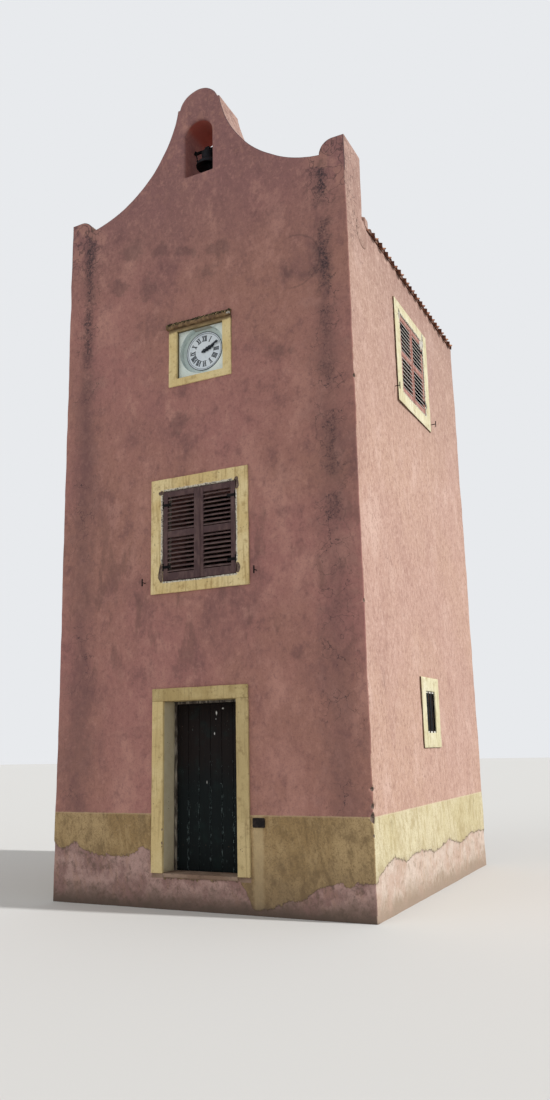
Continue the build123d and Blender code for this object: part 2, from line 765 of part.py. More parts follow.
def slope_plane(side, distance):
    """A plane square to the roof slope; its X runs to the back and its Y away from the tiles' bed."""
    x = side * (HALF_W + EAVE_OVERHANG - distance * cos(PITCH))
    z = EAVE_BED - EAVE_OVERHANG * SLOPE + distance * sin(PITCH)
    return Plane(origin=(x, 0, z), x_dir=(0, side, 0), z_dir=(side * cos(PITCH), 0, -sin(PITCH)))


for name, side in (("roof_tiles_right", 1), ("roof_tiles_left", -1)):
    with BuildPart() as tiles:
        with BuildSketch(slope_plane(side, SLOPE_LENGTH)):
            low, high = sorted((side * FIELD_FRONT, side * FIELD_BACK))
            with Locations(((low + high) / 2, TILE_SKIN / 2)):
                Rectangle(high - low, TILE_SKIN)
            with Locations(((low + high) / 2, TILE_SKIN)):
                with GridLocations(ROW, 0, ROWS, 1):
                    Ellipse(ROW * TILE_SHARE, TILE_RISE)
            with Locations(((low + high) / 2, -TILE_RISE)):
                Rectangle(high - low + ROW, 2 * TILE_RISE, mode=Mode.SUBTRACT)
        extrude(amount=SLOPE_LENGTH)
    save(tiles, name)


def swelling_shoulder(side):
    """A point half way along the dome's edge, on the circle through its rim and its top."""
    dome_r = (SWELLING_R**2 + EAVE_OVERHANG**2) / (2 * EAVE_OVERHANG)
    up = SWELLING_R / 2
    return side * ((dome_r**2 - up**2) ** 0.5 - dome_r + EAVE_OVERHANG), up


flashing_end = HALF_W + EAVE_OVERHANG - FLASHING_SHORT

with BuildPart() as flashing:
    for side in (-1, 1):
        with BuildSketch(Plane.XZ.offset(INNER_Y)):
            with BuildLine():
                Polyline(
                    (0, RIDGE_BED),
                    (side * flashing_end, roof_height(flashing_end)),
                    (side * flashing_end, roof_height(flashing_end) + FLASHING_RISE),
                    (0, RIDGE_BED + FLASHING_RISE),
                    close=True,
                )
            make_face()
        extrude(amount=-FLASHING)
    for side in (-1, 1):
        middle = (side * HALF_W, *SWELLING_MIDDLE)
        with BuildSketch(Plane(origin=middle, x_dir=(1, 0, 0), z_dir=(0, -1, 0))):
            with BuildLine():
                face_line = Line((0, 0), (0, SWELLING_R))
                ThreePointArc(face_line @ 1, swelling_shoulder(side), (side * EAVE_OVERHANG, 0))
                Line((side * EAVE_OVERHANG, 0), (0, 0))
            make_face()
        revolve(axis=Axis(middle, (1, 0, 0)))
save(flashing, "roof_flashing")

with BuildPart() as ridge:
    ridge_foot = RIDGE_BED + RIDGE_LIFT
    with BuildSketch(Plane.XZ.offset(-FIELD_FRONT)):
        with Locations((0, ridge_foot)):
            Circle(RIDGE_RADIUS)
            Circle(RIDGE_RADIUS - RIDGE_SKIN, mode=Mode.SUBTRACT)
        with Locations((0, ridge_foot - RIDGE_RADIUS)):
            Rectangle(2 * RIDGE_RADIUS, 2 * RIDGE_RADIUS, mode=Mode.SUBTRACT)
    extrude(amount=-(FIELD_BACK - FIELD_FRONT))
save(ridge, "ridge_tiles")

# Dark plate beside the door, and the iron catches that hold the shutters open
with BuildPart() as plate:
    with BuildSketch(FRONT):
        with Locations(PLATE):
            RectangleRounded(PLATE_W, PLATE_H, PLATE_ROUND)
    extrude(amount=PLATE_T)
save(plate, "wall_plate")

with BuildPart() as dogs:
    for _, face, stones, foot, _ in SHUTTERED:
        for side in (-1, 1):
            spot = (side * (stones[0] / 2 + DOG_SIDE), foot + DOG_UP)
            with BuildSketch(face):
                with Locations(spot):
                    Circle(DOG_R)
            extrude(amount=DOG_OUT)
            with BuildSketch(face.offset(DOG_OUT)):
                with Locations(spot):
                    Rectangle(DOG_BAR[0], DOG_BAR[1])
            extrude(amount=DOG_BAR[2])
save(dogs, "shutter_dogs")
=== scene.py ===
# %% [markdown]
# # The looks of a small clock tower
# A masonry tower with a curved bell gable, a clock, louvred shutters, a plank door and a roof of
# clay barrel tiles. The construction is ready and comes in as a fixed frame: every wall, stone and
# beam at its real size, in metres, standing on z = 0 with the front face towards -Y.
# This script only dresses it. It gives the walls their hand-laid plaster, lays the tiles, opens the
# louvres, paints the dial, and lights the whole for one camera.

# %% Load the frame
from math import cos, pi, radians, sin

import bmesh
import bpy
from mathutils import Matrix, Vector, noise


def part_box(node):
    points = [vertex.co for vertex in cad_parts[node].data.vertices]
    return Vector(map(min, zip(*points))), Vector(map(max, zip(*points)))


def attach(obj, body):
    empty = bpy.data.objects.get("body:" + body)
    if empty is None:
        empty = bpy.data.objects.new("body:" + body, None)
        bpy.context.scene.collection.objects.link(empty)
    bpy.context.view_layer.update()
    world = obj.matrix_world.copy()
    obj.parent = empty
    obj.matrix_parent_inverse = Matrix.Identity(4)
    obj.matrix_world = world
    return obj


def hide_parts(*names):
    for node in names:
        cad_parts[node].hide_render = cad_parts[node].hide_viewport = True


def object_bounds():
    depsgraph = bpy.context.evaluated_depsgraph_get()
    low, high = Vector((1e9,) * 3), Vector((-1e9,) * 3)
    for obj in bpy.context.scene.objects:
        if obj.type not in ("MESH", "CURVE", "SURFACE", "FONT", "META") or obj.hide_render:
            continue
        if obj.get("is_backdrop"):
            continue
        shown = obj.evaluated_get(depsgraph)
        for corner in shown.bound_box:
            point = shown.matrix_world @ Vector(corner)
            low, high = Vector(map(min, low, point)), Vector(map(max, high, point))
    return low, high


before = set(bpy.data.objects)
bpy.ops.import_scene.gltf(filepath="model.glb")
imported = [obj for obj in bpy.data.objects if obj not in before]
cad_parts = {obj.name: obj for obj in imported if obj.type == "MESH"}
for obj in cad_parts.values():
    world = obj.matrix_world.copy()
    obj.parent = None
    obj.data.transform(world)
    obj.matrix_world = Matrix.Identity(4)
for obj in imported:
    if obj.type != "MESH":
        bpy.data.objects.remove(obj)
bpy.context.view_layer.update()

scene = bpy.context.scene
# noise_vector draws new offsets each time Blender starts, unless it has a seed
noise.seed_set(1)

# %% [markdown]
# ## Camera
# The photograph looks up at the tower from eye height, a few metres in front of the right corner.
# Its lens and place were worked out from the building's own straight edges, so they are plain
# numbers here: where the camera stands, and the directions that are right, up and ahead for it.

# %% Camera
CAMERA_PLACE = Vector((5.541, -11.517, 1.847))
CAMERA_RIGHT = Vector((0.89486, 0.44583, -0.02158))
CAMERA_AHEAD = Vector((-0.43112, 0.87584, 0.2169))
CAMERA_LENS = 28.63

camera_up = CAMERA_RIGHT.cross(CAMERA_AHEAD).normalized()
camera = bpy.data.objects.new("camera", bpy.data.cameras.new("camera"))
camera.matrix_world = Matrix((
    (*CAMERA_RIGHT, 0), (*camera_up, 0), (*-CAMERA_AHEAD, 0), (0, 0, 0, 1)
)).transposed()
camera.location = CAMERA_PLACE
camera.data.lens = CAMERA_LENS
scene.collection.objects.link(camera)
scene.camera = camera
print("camera: lens", CAMERA_LENS, "mm, eye height", CAMERA_PLACE.z)

# %% [markdown]
# ## Node helpers
# Materials and Geometry Nodes are both trees of nodes. One helper adds a node, sets its options and
# fills its inputs, either with a plain value or with a link from another node. Colours are written
# as the 0 to 255 values that a paint chart gives, and turned into the linear values of the shader.

# %% Node helpers
def connect(tree, socket, value):
    """Links another node's output to a socket, or writes a plain value into it."""
    if isinstance(value, bpy.types.NodeSocket):
        tree.links.new(value, socket)
    else:
        socket.default_value = value

def add_node(tree, kind, inputs=None, **options):
    """Adds one node, with its options set and its inputs filled."""
    made = tree.nodes.new(kind)
    for option, value in options.items():
        setattr(made, option, value)
    for key, value in (inputs or {}).items():
        connect(tree, made.inputs[key], value)
    return made

def paint(red, green, blue):
    """A colour from its 0 to 255 values."""
    linear = [(c / 255 / 12.92) if c < 10.3 else ((c / 255 + 0.055) / 1.055) ** 2.4 for c in (red, green, blue)]
    return (*linear, 1)

print("plaster pink in the shader:", [round(c, 3) for c in paint(163, 114, 111)])

# %% [markdown]
# ## Stage
# The building stands on a plain pale floor in front of nothing. A soft sun from the right gives the
# right side its light and leaves the front in open shade, and an even white sky fills the rest.
# The camera, and any gloss or glass, sees a pale backdrop in place of that sky.

# %% Stage and light
FLOOR_SIZE = 160
FLOOR_COLOUR = paint(205, 204, 201)
BACKDROP = paint(232, 234, 237)
SKY_LIGHT = 0.58
SUN_POWER = 2.9
SUN_FROM = Vector((0.80, 0.10, 0.62))
SUN_SOFTNESS = radians(2)
FILL_POWER = 0.35
FILL_FROM = Vector((-0.5, -1, 0.75))

floor_mesh = bpy.data.meshes.new("floor")
reach = FLOOR_SIZE / 2
floor_corners = [(-reach, -reach, 0), (reach, -reach, 0), (reach, reach, 0), (-reach, reach, 0)]
floor_mesh.from_pydata(floor_corners, [], [(0, 1, 2, 3)])
floor = bpy.data.objects.new("floor", floor_mesh)
scene.collection.objects.link(floor)
floor_finish = bpy.data.materials.new("floor_finish")
floor_finish.use_nodes = True
floor_shader = floor_finish.node_tree.nodes["Principled BSDF"]
floor_shader.inputs["Base Color"].default_value = FLOOR_COLOUR
floor_shader.inputs["Roughness"].default_value = 0.9
floor_mesh.materials.append(floor_finish)
floor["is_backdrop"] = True

def sun(name, power, comes_from, softness):
    """A far lamp whose light comes from one direction."""
    lamp = bpy.data.objects.new(name, bpy.data.lights.new(name, "SUN"))
    lamp.data.energy = power
    lamp.data.angle = softness
    lamp.rotation_mode = "QUATERNION"
    lamp.rotation_quaternion = comes_from.to_track_quat("Z", "Y")
    scene.collection.objects.link(lamp)

sun("sun", SUN_POWER, SUN_FROM, SUN_SOFTNESS)
sun("front_fill", FILL_POWER, FILL_FROM, radians(40))

world = bpy.data.worlds.new("studio")
world.use_nodes = True
world_tree = world.node_tree
world_tree.nodes.clear()
rays = add_node(world_tree, "ShaderNodeLightPath").outputs
seen = rays["Is Camera Ray"]
for ray in ("Is Glossy Ray", "Is Transmission Ray"):
    both = {0: seen, 1: rays[ray]}
    seen = add_node(world_tree, "ShaderNodeMath", both, operation="ADD", use_clamp=True).outputs[0]
sky_light = add_node(world_tree, "ShaderNodeBackground", {"Color": (1, 1, 1, 1), "Strength": SKY_LIGHT})
backdrop = add_node(world_tree, "ShaderNodeBackground", {"Color": BACKDROP, "Strength": 1.0})
either = add_node(world_tree, "ShaderNodeMixShader", {0: seen, 1: sky_light.outputs[0], 2: backdrop.outputs[0]})
add_node(world_tree, "ShaderNodeOutputWorld", {"Surface": either.outputs[0]})
scene.world = world
scene.view_settings.view_transform = "Standard"
print("stage: floor", FLOOR_SIZE, "m, two suns, sky at", SKY_LIGHT)

# %% [markdown]
# ## How a finish is written
# Every finish on this tower is worked out from noise on the Object coordinates, which here are the
# real metres of the building. So a stain keeps its real size and stays in its place when the part
# is turned or moved. A small class keeps the node work readable: each of its methods adds nodes
# and hands back an output, and `done` wires colour, roughness and relief to the shader.

# %% Finish
class Finish:
    """A material in the making; x, y and z are the building's own metres."""

    def __init__(self, name):
        self.material = bpy.data.materials.new(name)
        self.material.use_nodes = True
        self.tree = self.material.node_tree
        self.shader = self.tree.nodes["Principled BSDF"]
        self.place = self.add("ShaderNodeTexCoord").outputs["Object"]
        self.x, self.y, self.z = self.add("ShaderNodeSeparateXYZ", {0: self.place}).outputs

    def add(self, kind, inputs=None, **options):
        return add_node(self.tree, kind, inputs, **options)

    def maths(self, operation, first, second=0.0):
        return self.add("ShaderNodeMath", {0: first, 1: second}, operation=operation).outputs[0]

    def plus(self, first, second):
        return self.maths("ADD", first, second)

    def minus(self, first, second):
        return self.maths("SUBTRACT", first, second)

    def times(self, value, *factors):
        for factor in factors:
            value = self.maths("MULTIPLY", value, factor)
        return value

    def size_of(self, value):
        return self.maths("ABSOLUTE", value)

    def vector(self, operation, first, second):
        return self.add("ShaderNodeVectorMath", {0: first, 1: second}, operation=operation).outputs

    def stretched(self, stretch):
        return self.add("ShaderNodeMapping", {"Vector": self.place, "Scale": stretch}).outputs[0]

    def noise(self, scale, detail=4.0, stretch=None, rough=0.55):
        where = self.stretched(stretch) if stretch else self.place
        inputs = {"Vector": where, "Scale": scale, "Detail": detail, "Roughness": rough}
        return self.add("ShaderNodeTexNoise", inputs).outputs[0]

    def swing(self, noise, amount):
        """Noise about zero, times an amount."""
        return self.times(self.minus(noise, 0.5), amount)

    def cells(self, scale, stretch=(1, 1, 1)):
        inputs = {"Vector": self.stretched(stretch), "Scale": scale}
        return self.add("ShaderNodeTexVoronoi", inputs).outputs["Distance"]

    def attribute(self, name):
        return self.add("ShaderNodeAttribute", attribute_name=name).outputs["Fac"]

    def mask(self, value, low, high):
        """0 up to low and 1 from high on, with a smooth step between."""
        inputs = {0: value, 1: low, 2: high}
        return self.add("ShaderNodeMapRange", inputs, interpolation_type="SMOOTHSTEP").outputs[0]

    def eased(self, mask, low, high=1.0):
        """A mask of 0 to 1 turned into one of low to high."""
        return self.plus(self.times(mask, high - low), low)

    def mix(self, factor, first, second):
        return self.add("ShaderNodeMix", {0: factor, 6: first, 7: second}, data_type="RGBA").outputs[2]

    def laid(self, colour, tone, value, low, high, amount):
        """A tone laid over a colour where a value passes from low to high."""
        return self.mix(self.times(self.mask(value, low, high), amount), colour, tone)

    def on_front(self):
        """The place on the drawing of the front, without its depth."""
        return self.add("ShaderNodeCombineXYZ", {0: self.x, 2: self.z}).outputs[0]

    def spot(self, place, reach, ragged):
        """1 inside an oval on the front, at (x, z) and with its two half widths, with a ragged edge."""
        squeezed = self.vector("MULTIPLY", self.on_front(), (1 / reach[0], 1, 1 / reach[1]))[0]
        away = self.vector("DISTANCE", squeezed, (place[0] / reach[0], 0, place[1] / reach[1]))["Value"]
        return self.mask(self.plus(away, ragged), 1.3, 0.35)

    def done(self, colour, roughness, height, depth=0.003, strength=0.8):
        relief = self.add("ShaderNodeBump", {"Height": height, "Distance": depth, "Strength": strength})
        for socket, value in (("Base Color", colour), ("Roughness", roughness), ("Normal", relief.outputs[0])):
            connect(self.tree, self.shader.inputs[socket], value)
        return self.material

print("finish helper ready")

# %% [markdown]
# ## Plaster
# The walls are rendered with lime plaster and washed pink. Weather has mottled it: paler worn
# patches, darker damp ones, bruises, thin rain streaks, and a ledge wherever one day's lift of plaster
# met the next, drawn as a painted shade line with a painted highlight above it. Black mould grows down
# from the inner corner of each post. A dado of yellow ochre runs round the foot, and below a ragged
# line it has come off and shows a paler coat. The sides stand in the sun and are bleached, the front
# is not, so one function makes both from two sets of tones.
# Where the coat is bare is told by an attribute of the wall's mesh, because the wall is a few
# millimetres thinner there too; the finish only makes that line ragged.

# %% Plaster
DADO_TOP = 1.07
POST_STAIN_X = 1.82
POST_STAIN_HALF = 0.15
LIFT_HEIGHT = 1.32
CHASE = (0.765, 0.085)
ARCH_HALF = 0.22
ARCH_SILL_Z = 9.55
ARCH_TOP_Z = 10.39
BRUISES = (
    (1.70, 7.84), (1.69, 7.60), (-1.07, 8.66), (-0.60, 8.53), (-0.19, 8.42), (0.25, 8.29),
    (-0.80, 8.05), (-1.30, 8.19), (0.09, 8.02), (1.28, 7.70), (-0.30, 5.95), (1.15, 6.60),
)
LAP_ARC = (1.40, 7.80, 0.36)
STREAK_SLANT = 0.18

class Plaster(Finish):
    """Lime plaster in the making: the noises it shares, its tones, and the colour as far as it is laid."""

    def __init__(self, name, tones):
        super().__init__(name)
        self.tones = tones
        self.damp = self.noise(1.35, 5, stretch=(1, 1, 0.62), rough=0.58)
        self.blotch = self.noise(3.4, 6, stretch=(1, 1, 0.8), rough=0.66)
        self.lumps = self.noise(9.0, 6, rough=0.66)
        self.crumbs = self.noise(24, 4, stretch=(1, 1, 0.7), rough=0.72)
        self.grain = self.noise(48, 5, rough=0.70)
        self.speck = self.noise(150, 3, rough=0.70)
        self.splash = self.plus(self.z, self.swing(self.noise(3.4, 6, rough=0.65), 0.7))
        self.start("body", "brown", self.mask(self.noise(0.42, 4), 0.38, 0.62))

    def start(self, first, second, mask):
        """Begins a coat from two of the tones."""
        self.colour = self.mix(mask, self.tones[first], self.tones[second])

    def cover(self, tone, where, amount=1.0):
        """Covers the colour with a tone; amount may be the name of a value kept with the tones."""
        self.colour = self.mix(self.times(where, self.tones.get(amount, amount)), self.colour, self.tones[tone])

    def lay(self, tone, value, low, high, amount):
        """Covers the colour with a tone where a value passes from low to high."""
        self.cover(tone, self.mask(value, low, high), amount)

def weather(f):
    """Damp, mottling, rain streaks, specks, pits, and the ledges between the lifts of plaster, each
    drawn as a painted shade line with a painted highlight above it.
    """
    along = f.times(f.z, STREAK_SLANT)
    slanted = f.vector("ADD", f.place, f.add("ShaderNodeCombineXYZ", {0: along, 1: along}).outputs[0])[0]
    runs = f.add("ShaderNodeMapping", {"Vector": slanted, "Scale": (13, 13, 3.0)}).outputs[0]
    inputs = {"Vector": runs, "Scale": 1.0, "Detail": 6.0, "Roughness": 0.66}
    f.streaks = f.add("ShaderNodeTexNoise", inputs).outputs[0]
    height = f.plus(f.z, f.swing(f.damp, 1.6))
    for tone, value, low, high, amount in (
        ("pale", f.damp, 0.46, 0.30, 0.75), ("dark", f.damp, 0.52, 0.70, "damp"),
        ("high", height, *f.tones["high_up"], "high_amount"),
        ("dark", f.blotch, 0.53, 0.72, "blotches"), ("pale", f.blotch, 0.47, 0.30, "blotches"),
        ("dark", f.lumps, 0.53, 0.72, "lumps"), ("pale", f.lumps, 0.46, 0.28, "lumps"),
        ("stain", f.streaks, 0.53, 0.72, "streaks"), ("pale", f.streaks, 0.46, 0.30, "streaks"),
        ("stain", f.crumbs, 0.52, 0.66, "crumbs"), ("pale", f.crumbs, 0.47, 0.34, "crumbs"),
        ("stain", f.grain, 0.52, 0.68, "specks"), ("stain", f.speck, 0.54, 0.70, "specks"),
        ("pale", f.speck, 0.44, 0.30, 0.26),
    ):
        f.lay(tone, value, low, high, amount)
    f.pits = f.times(f.mask(f.cells(12.0, (1, 1, 0.5)), 0.10, 0.03), f.mask(f.noise(2.3, 4), 0.47, 0.55))
    f.cover("pit", f.pits, "pits")
    lifted = f.maths("DIVIDE", f.plus(f.z, f.swing(f.noise(0.9, 5), 1.5)), LIFT_HEIGHT)
    seam = f.minus(f.maths("FRACT", lifted), 0.5)
    here = f.times(f.mask(f.noise(1.5, 3), 0.47, 0.60), f.tones["laps"])
    f.ledge = f.times(f.mask(f.size_of(f.minus(seam, 0.03)), 0.035, 0.0), here)
    # a painted shade line along each seam, and a painted highlight along the ledge just above it
    f.cover("dark", f.times(f.mask(f.size_of(seam), 0.045, 0.0), here), 0.34)
    f.cover("pale", f.ledge, 0.30)

def crack_lines(f, scale, width):
    """Thin wandering lines, 1 on the line."""
    bend = f.add("ShaderNodeTexNoise", {"Vector": f.place, "Scale": 3.0, "Detail": 5.0}).outputs["Color"]
    inputs = {"Vector": f.vector("ADD", f.place, bend)[0], "Scale": scale}
    lines = f.add("ShaderNodeTexVoronoi", inputs, feature="DISTANCE_TO_EDGE")
    return f.mask(lines.outputs["Distance"], width, 0.0)

print("plaster layers ready")

# %% [markdown]
# ### Marks of the front
# The front has marks of its own, and the large ones stand in known places: bruises in the upper part,
# black mould down from the inner corner of each post, salmon patches high up, the arc where a patch
# was lapped, the rubbed rim of the gable, and the inside of the bell arch, red-brown and darker, partly
# its own colour and partly painted shade. Both sides are darker in streaks in a band under the eave.

# %% Marks of the front and of the sides
def mould_stain(f, beside_post):
    """Black mould under the inner corner of each post, in clumps down to the middle of the wall."""
    ragged = f.plus(beside_post, f.swing(f.noise(9, 8, rough=0.80), 0.34))
    heights = f.times(f.mask(f.z, 5.9, 7.7), f.mask(f.z, 9.34, 9.10))
    clumps = f.mask(f.noise(1.0, 5, stretch=(2.2, 2.2, 2.4), rough=0.65), 0.34, 0.52)
    speckle = f.eased(f.mask(f.noise(34, 5, rough=0.75), 0.44, 0.56), 0.38)
    return f.times(f.mask(ragged, POST_STAIN_HALF, 0.0), heights, clumps, speckle)

def low_stain(f, beside_post):
    """The same mould in the lower half of the wall, thinner and mostly on the right."""
    stain = f.mask(f.plus(beside_post, f.swing(f.lumps, 0.5)), 0.16, 0.0)
    heights = f.times(f.mask(f.z, 7.0, 6.2), f.mask(f.z, 2.6, 4.2))
    clumps = f.times(f.mask(f.noise(2.2, 5), 0.48, 0.60), f.eased(f.mask(f.grain, 0.46, 0.56), 0.4))
    return f.times(stain, heights, clumps, f.eased(f.mask(f.x, -1.0, 1.0), 0.3))

def bruises(f):
    """Dark smudges on the upper front."""
    marks = 0.0
    torn = f.plus(f.swing(f.lumps, 3.4), f.swing(f.noise(3.6, 3), 3.0))
    for i, place in enumerate(BRUISES):
        reach = (0.12 + 0.03 * (i % 3), 0.16 - 0.03 * (i % 2))
        marks = f.maths("MAXIMUM", f.spot(place, reach, torn), marks)
    return marks

def lap_arc(f):
    """The arc where a patch of plaster was lapped."""
    away = f.vector("DISTANCE", f.on_front(), (LAP_ARC[0], 0, LAP_ARC[1]))["Value"]
    off_arc = f.size_of(f.minus(f.plus(away, f.swing(f.lumps, 0.05)), LAP_ARC[2]))
    return f.times(f.mask(off_arc, 0.022, 0.0), f.mask(f.x, 1.2, 1.45))

def front_marks(f):
    """Everything that only the front has."""
    across = f.size_of(f.x)
    beside_post = f.size_of(f.minus(across, POST_STAIN_X))
    by_post = f.times(f.mask(beside_post, 0.34, 0.10), f.mask(f.noise(1.1, 3), 0.42, 0.52))
    on_post = f.times(f.mask(across, 1.50, 1.72), f.mask(f.z, 8.3, 8.8))
    mauve = f.mask(f.plus(beside_post, f.swing(f.blotch, 1.0)), 0.34, 0.0)
    runs = f.mask(f.noise(1.0, 5, stretch=(3.6, 3.6, 1.3), rough=0.62), 0.53, 0.64)
    rim = f.plus(f.attribute("rim"), f.swing(f.noise(14, 5, rough=0.7), 0.6))
    in_arch = f.times(f.mask(f.y, -2.39, -2.35), f.mask(f.z, ARCH_SILL_Z - 0.05, ARCH_SILL_Z + 0.1))
    for tone, where, amount in (
        ("salmon", f.times(f.mask(f.lumps, 0.54, 0.62), f.mask(f.z, 8.9, 9.7)), 0.30),
        ("mould", bruises(f), 0.33),
        ("mould", lap_arc(f), 0.30),
        ("mauve", f.times(mauve, f.mask(f.z, 8.0, 6.6)), 0.40),
        ("mould", mould_stain(f, beside_post), 0.92),
        ("mould", f.times(crack_lines(f, 2.4, 0.014), by_post), 0.85),
        ("mould", low_stain(f, beside_post), 0.60),
        ("run", f.times(runs, f.mask(f.z, 2.4, 3.1), f.mask(f.z, 5.6, 4.0)), 0.42),
        ("salmon", f.times(f.mask(f.noise(2.6, 2), 0.50, 0.54), on_post), 0.36),
        ("mould", f.times(crack_lines(f, 4.0, 0.07), on_post), 0.62),
        ("mould", f.mask(rim, 0.42, 0.62), 0.75),
        # the inside of the bell arch is red-brown and darker: partly its own colour, partly painted shade
        ("arch", f.times(in_arch, f.eased(f.mask(f.x, -0.21, -0.14), 0.3, 0.9)), 1.0),
    ):
        f.cover(tone, where, amount)

def side_marks(f):
    """Darker streaks in a band just under the eave, and cracks by the front corner."""
    f.cover("stain", f.times(f.mask(f.z, 7.9, 8.35), f.mask(f.streaks, 0.40, 0.60)), 0.34)
    by_corner = f.times(f.mask(f.y, -1.95, -2.1), f.mask(f.z, 7.6, 8.2))
    f.cover("pit", f.times(crack_lines(f, 5.0, 0.06), by_corner), 0.6)

print("marks: ", len(BRUISES), "bruises, mould by two posts")

# %% [markdown]
# ### Dado and bare coat
# The dado has its own worn and dirty tones, and the chase beside the door was filled with a paler
# mortar. Where the coat has come off, the older one shows, with a dark line along the broken edge.

# %% Dado, bare coat and relief
def dado_coat(f, front):
    """The ochre band round the foot."""
    wall = f.colour
    f.start("ochre", "ochre_worn", f.mask(f.damp, 0.40, 0.62))
    for tone, value, low, high, amount in (
        ("ochre_dark", f.blotch, 0.50, 0.66, 0.60), ("ochre_worn", f.lumps, 0.46, 0.32, 0.60),
        ("ochre_dark", f.grain, 0.50, 0.66, 0.60), ("dirt", f.speck, 0.52, 0.66, 0.55),
        ("ochre_dark", f.crumbs, 0.50, 0.64, 0.45), ("ochre_dark", f.streaks, 0.50, 0.66, 0.55),
        ("ochre_worn", f.streaks, 0.46, 0.34, 0.45),
    ):
        f.lay(tone, value, low, high, amount)
    if front:
        chase = f.plus(f.size_of(f.minus(f.x, CHASE[0])), f.swing(f.lumps, 0.05))
        f.lay("ochre_patch", chase, CHASE[1], CHASE[1] - 0.05, 0.55)
    f.lay("dirt", f.splash, 0.75, 0.1, 0.45)
    below = f.mask(f.plus(f.z, f.swing(f.noise(14, 3), 0.014)), DADO_TOP + 0.003, DADO_TOP - 0.003)
    f.colour = f.mix(below, wall, f.colour)
    edge = f.size_of(f.minus(f.plus(f.z, f.swing(f.lumps, 0.03)), DADO_TOP - 0.006))
    f.lay("dado_edge", edge, 0.012, 0.002, 0.45)

def bare_coat(f):
    """The older coat below the broken edge, and the soil that splashes up from the ground."""
    coated = f.colour
    f.start("bare", "bare_dark", f.mask(f.blotch, 0.42, 0.60))
    for tone, value, low, high, amount in (
        ("bare_warm", f.streaks, 0.50, 0.66, 0.45), ("dirt", f.lumps, 0.54, 0.66, 0.5),
        ("dirt", f.crumbs, 0.52, 0.64, 0.35), ("dirt", f.speck, 0.52, 0.66, 0.45),
        ("dirt", f.splash, 0.34, -0.02, 0.8),
    ):
        f.lay(tone, value, low, high, amount)
    ragged = f.plus(f.attribute("peeled"), f.swing(f.noise(17, 8, rough=0.80), 2.0))
    f.bare = f.mask(ragged, 0.47, 0.53)
    f.colour = f.mix(f.bare, coated, f.colour)
    f.cover("pit", f.times(f.mask(ragged, 0.36, 0.46), f.mask(ragged, 0.56, 0.49)), "rim")
    soil = f.plus(f.z, f.swing(f.noise(5.0, 6, rough=0.65), 0.24))
    f.lay("soil", soil, 0.16, -0.02, 0.75)

def plaster(name, tones, front):
    """Lime plaster in the tones of one side of the tower."""
    f = Plaster(name, tones)
    weather(f)
    if front:
        front_marks(f)
    else:
        side_marks(f)
    dado_coat(f, front)
    bare_coat(f)
    relief = f.blotch
    for value, amount in (
        (f.lumps, 0.75), (f.grain, 0.26), (f.speck, 0.08), (f.pits, -0.45), (f.ledge, 0.30), (f.bare, -0.5),
    ):
        relief = f.plus(relief, f.times(value, amount))
    return f.done(f.colour, 0.92, relief, depth=0.014, strength=0.85)

FRONT_TONES = {
    "body": paint(161, 111, 104), "brown": paint(157, 112, 99), "pale": paint(184, 136, 123),
    "dark": paint(114, 78, 77), "stain": paint(104, 72, 72), "mould": paint(50, 38, 44),
    "mauve": paint(104, 74, 72), "run": paint(100, 72, 66), "salmon": paint(182, 134, 118),
    "arch": paint(140, 62, 50), "high": paint(122, 86, 89), "high_up": (7.4, 9.6), "high_amount": 0.62,
    "streaks": 0.20, "crumbs": 0.26, "specks": 0.36, "laps": 0.4, "pits": 0.35, "damp": 0.68,
    "blotches": 0.62, "lumps": 0.42, "pit": paint(70, 54, 50), "ochre": paint(152, 125, 84),
    "ochre_worn": paint(178, 152, 110), "ochre_dark": paint(114, 92, 62), "ochre_patch": paint(196, 174, 134),
    "dado_edge": paint(186, 160, 128), "bare": paint(178, 146, 138), "bare_dark": paint(142, 110, 104),
    "bare_warm": paint(166, 130, 112), "dirt": paint(88, 72, 60), "soil": paint(84, 72, 62), "rim": 0.25,
}
SIDE_TONES = {
    "body": paint(186, 150, 135), "brown": paint(188, 153, 134), "pale": paint(206, 174, 159),
    "dark": paint(160, 122, 109), "stain": paint(142, 106, 94),
    "high": paint(150, 122, 112), "high_up": (4.4, 10.6), "high_amount": 0.80,
    "streaks": 0.34, "crumbs": 0.62, "specks": 0.60, "laps": 0.2, "pits": 0.90, "damp": 0.38,
    "blotches": 0.38, "lumps": 0.42, "pit": paint(80, 56, 50), "ochre": paint(198, 186, 146),
    "ochre_worn": paint(210, 200, 166), "ochre_dark": paint(164, 146, 104), "dado_edge": paint(206, 190, 160),
    "bare": paint(206, 188, 174), "bare_dark": paint(188, 162, 146), "bare_warm": paint(186, 156, 130),
    "dirt": paint(138, 118, 96), "soil": paint(154, 134, 118), "rim": 0.75,
}
front_plaster = plaster("front_plaster", FRONT_TONES, front=True)
side_plaster = plaster("side_plaster", SIDE_TONES, front=False)
print("plaster: front", len(front_plaster.node_tree.nodes), "nodes, sides", len(side_plaster.node_tree.nodes))

# %% [markdown]
# ## Painted stone, wood, iron and clay
# The other finishes follow the same plan with fewer layers: a body colour, a paler and a darker
# one laid over it by noise, and relief from the same noise so that colour and surface agree.

# %% Other finishes
CHIP = paint(74, 60, 52)
FRONT_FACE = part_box("bell_gable")[0].y

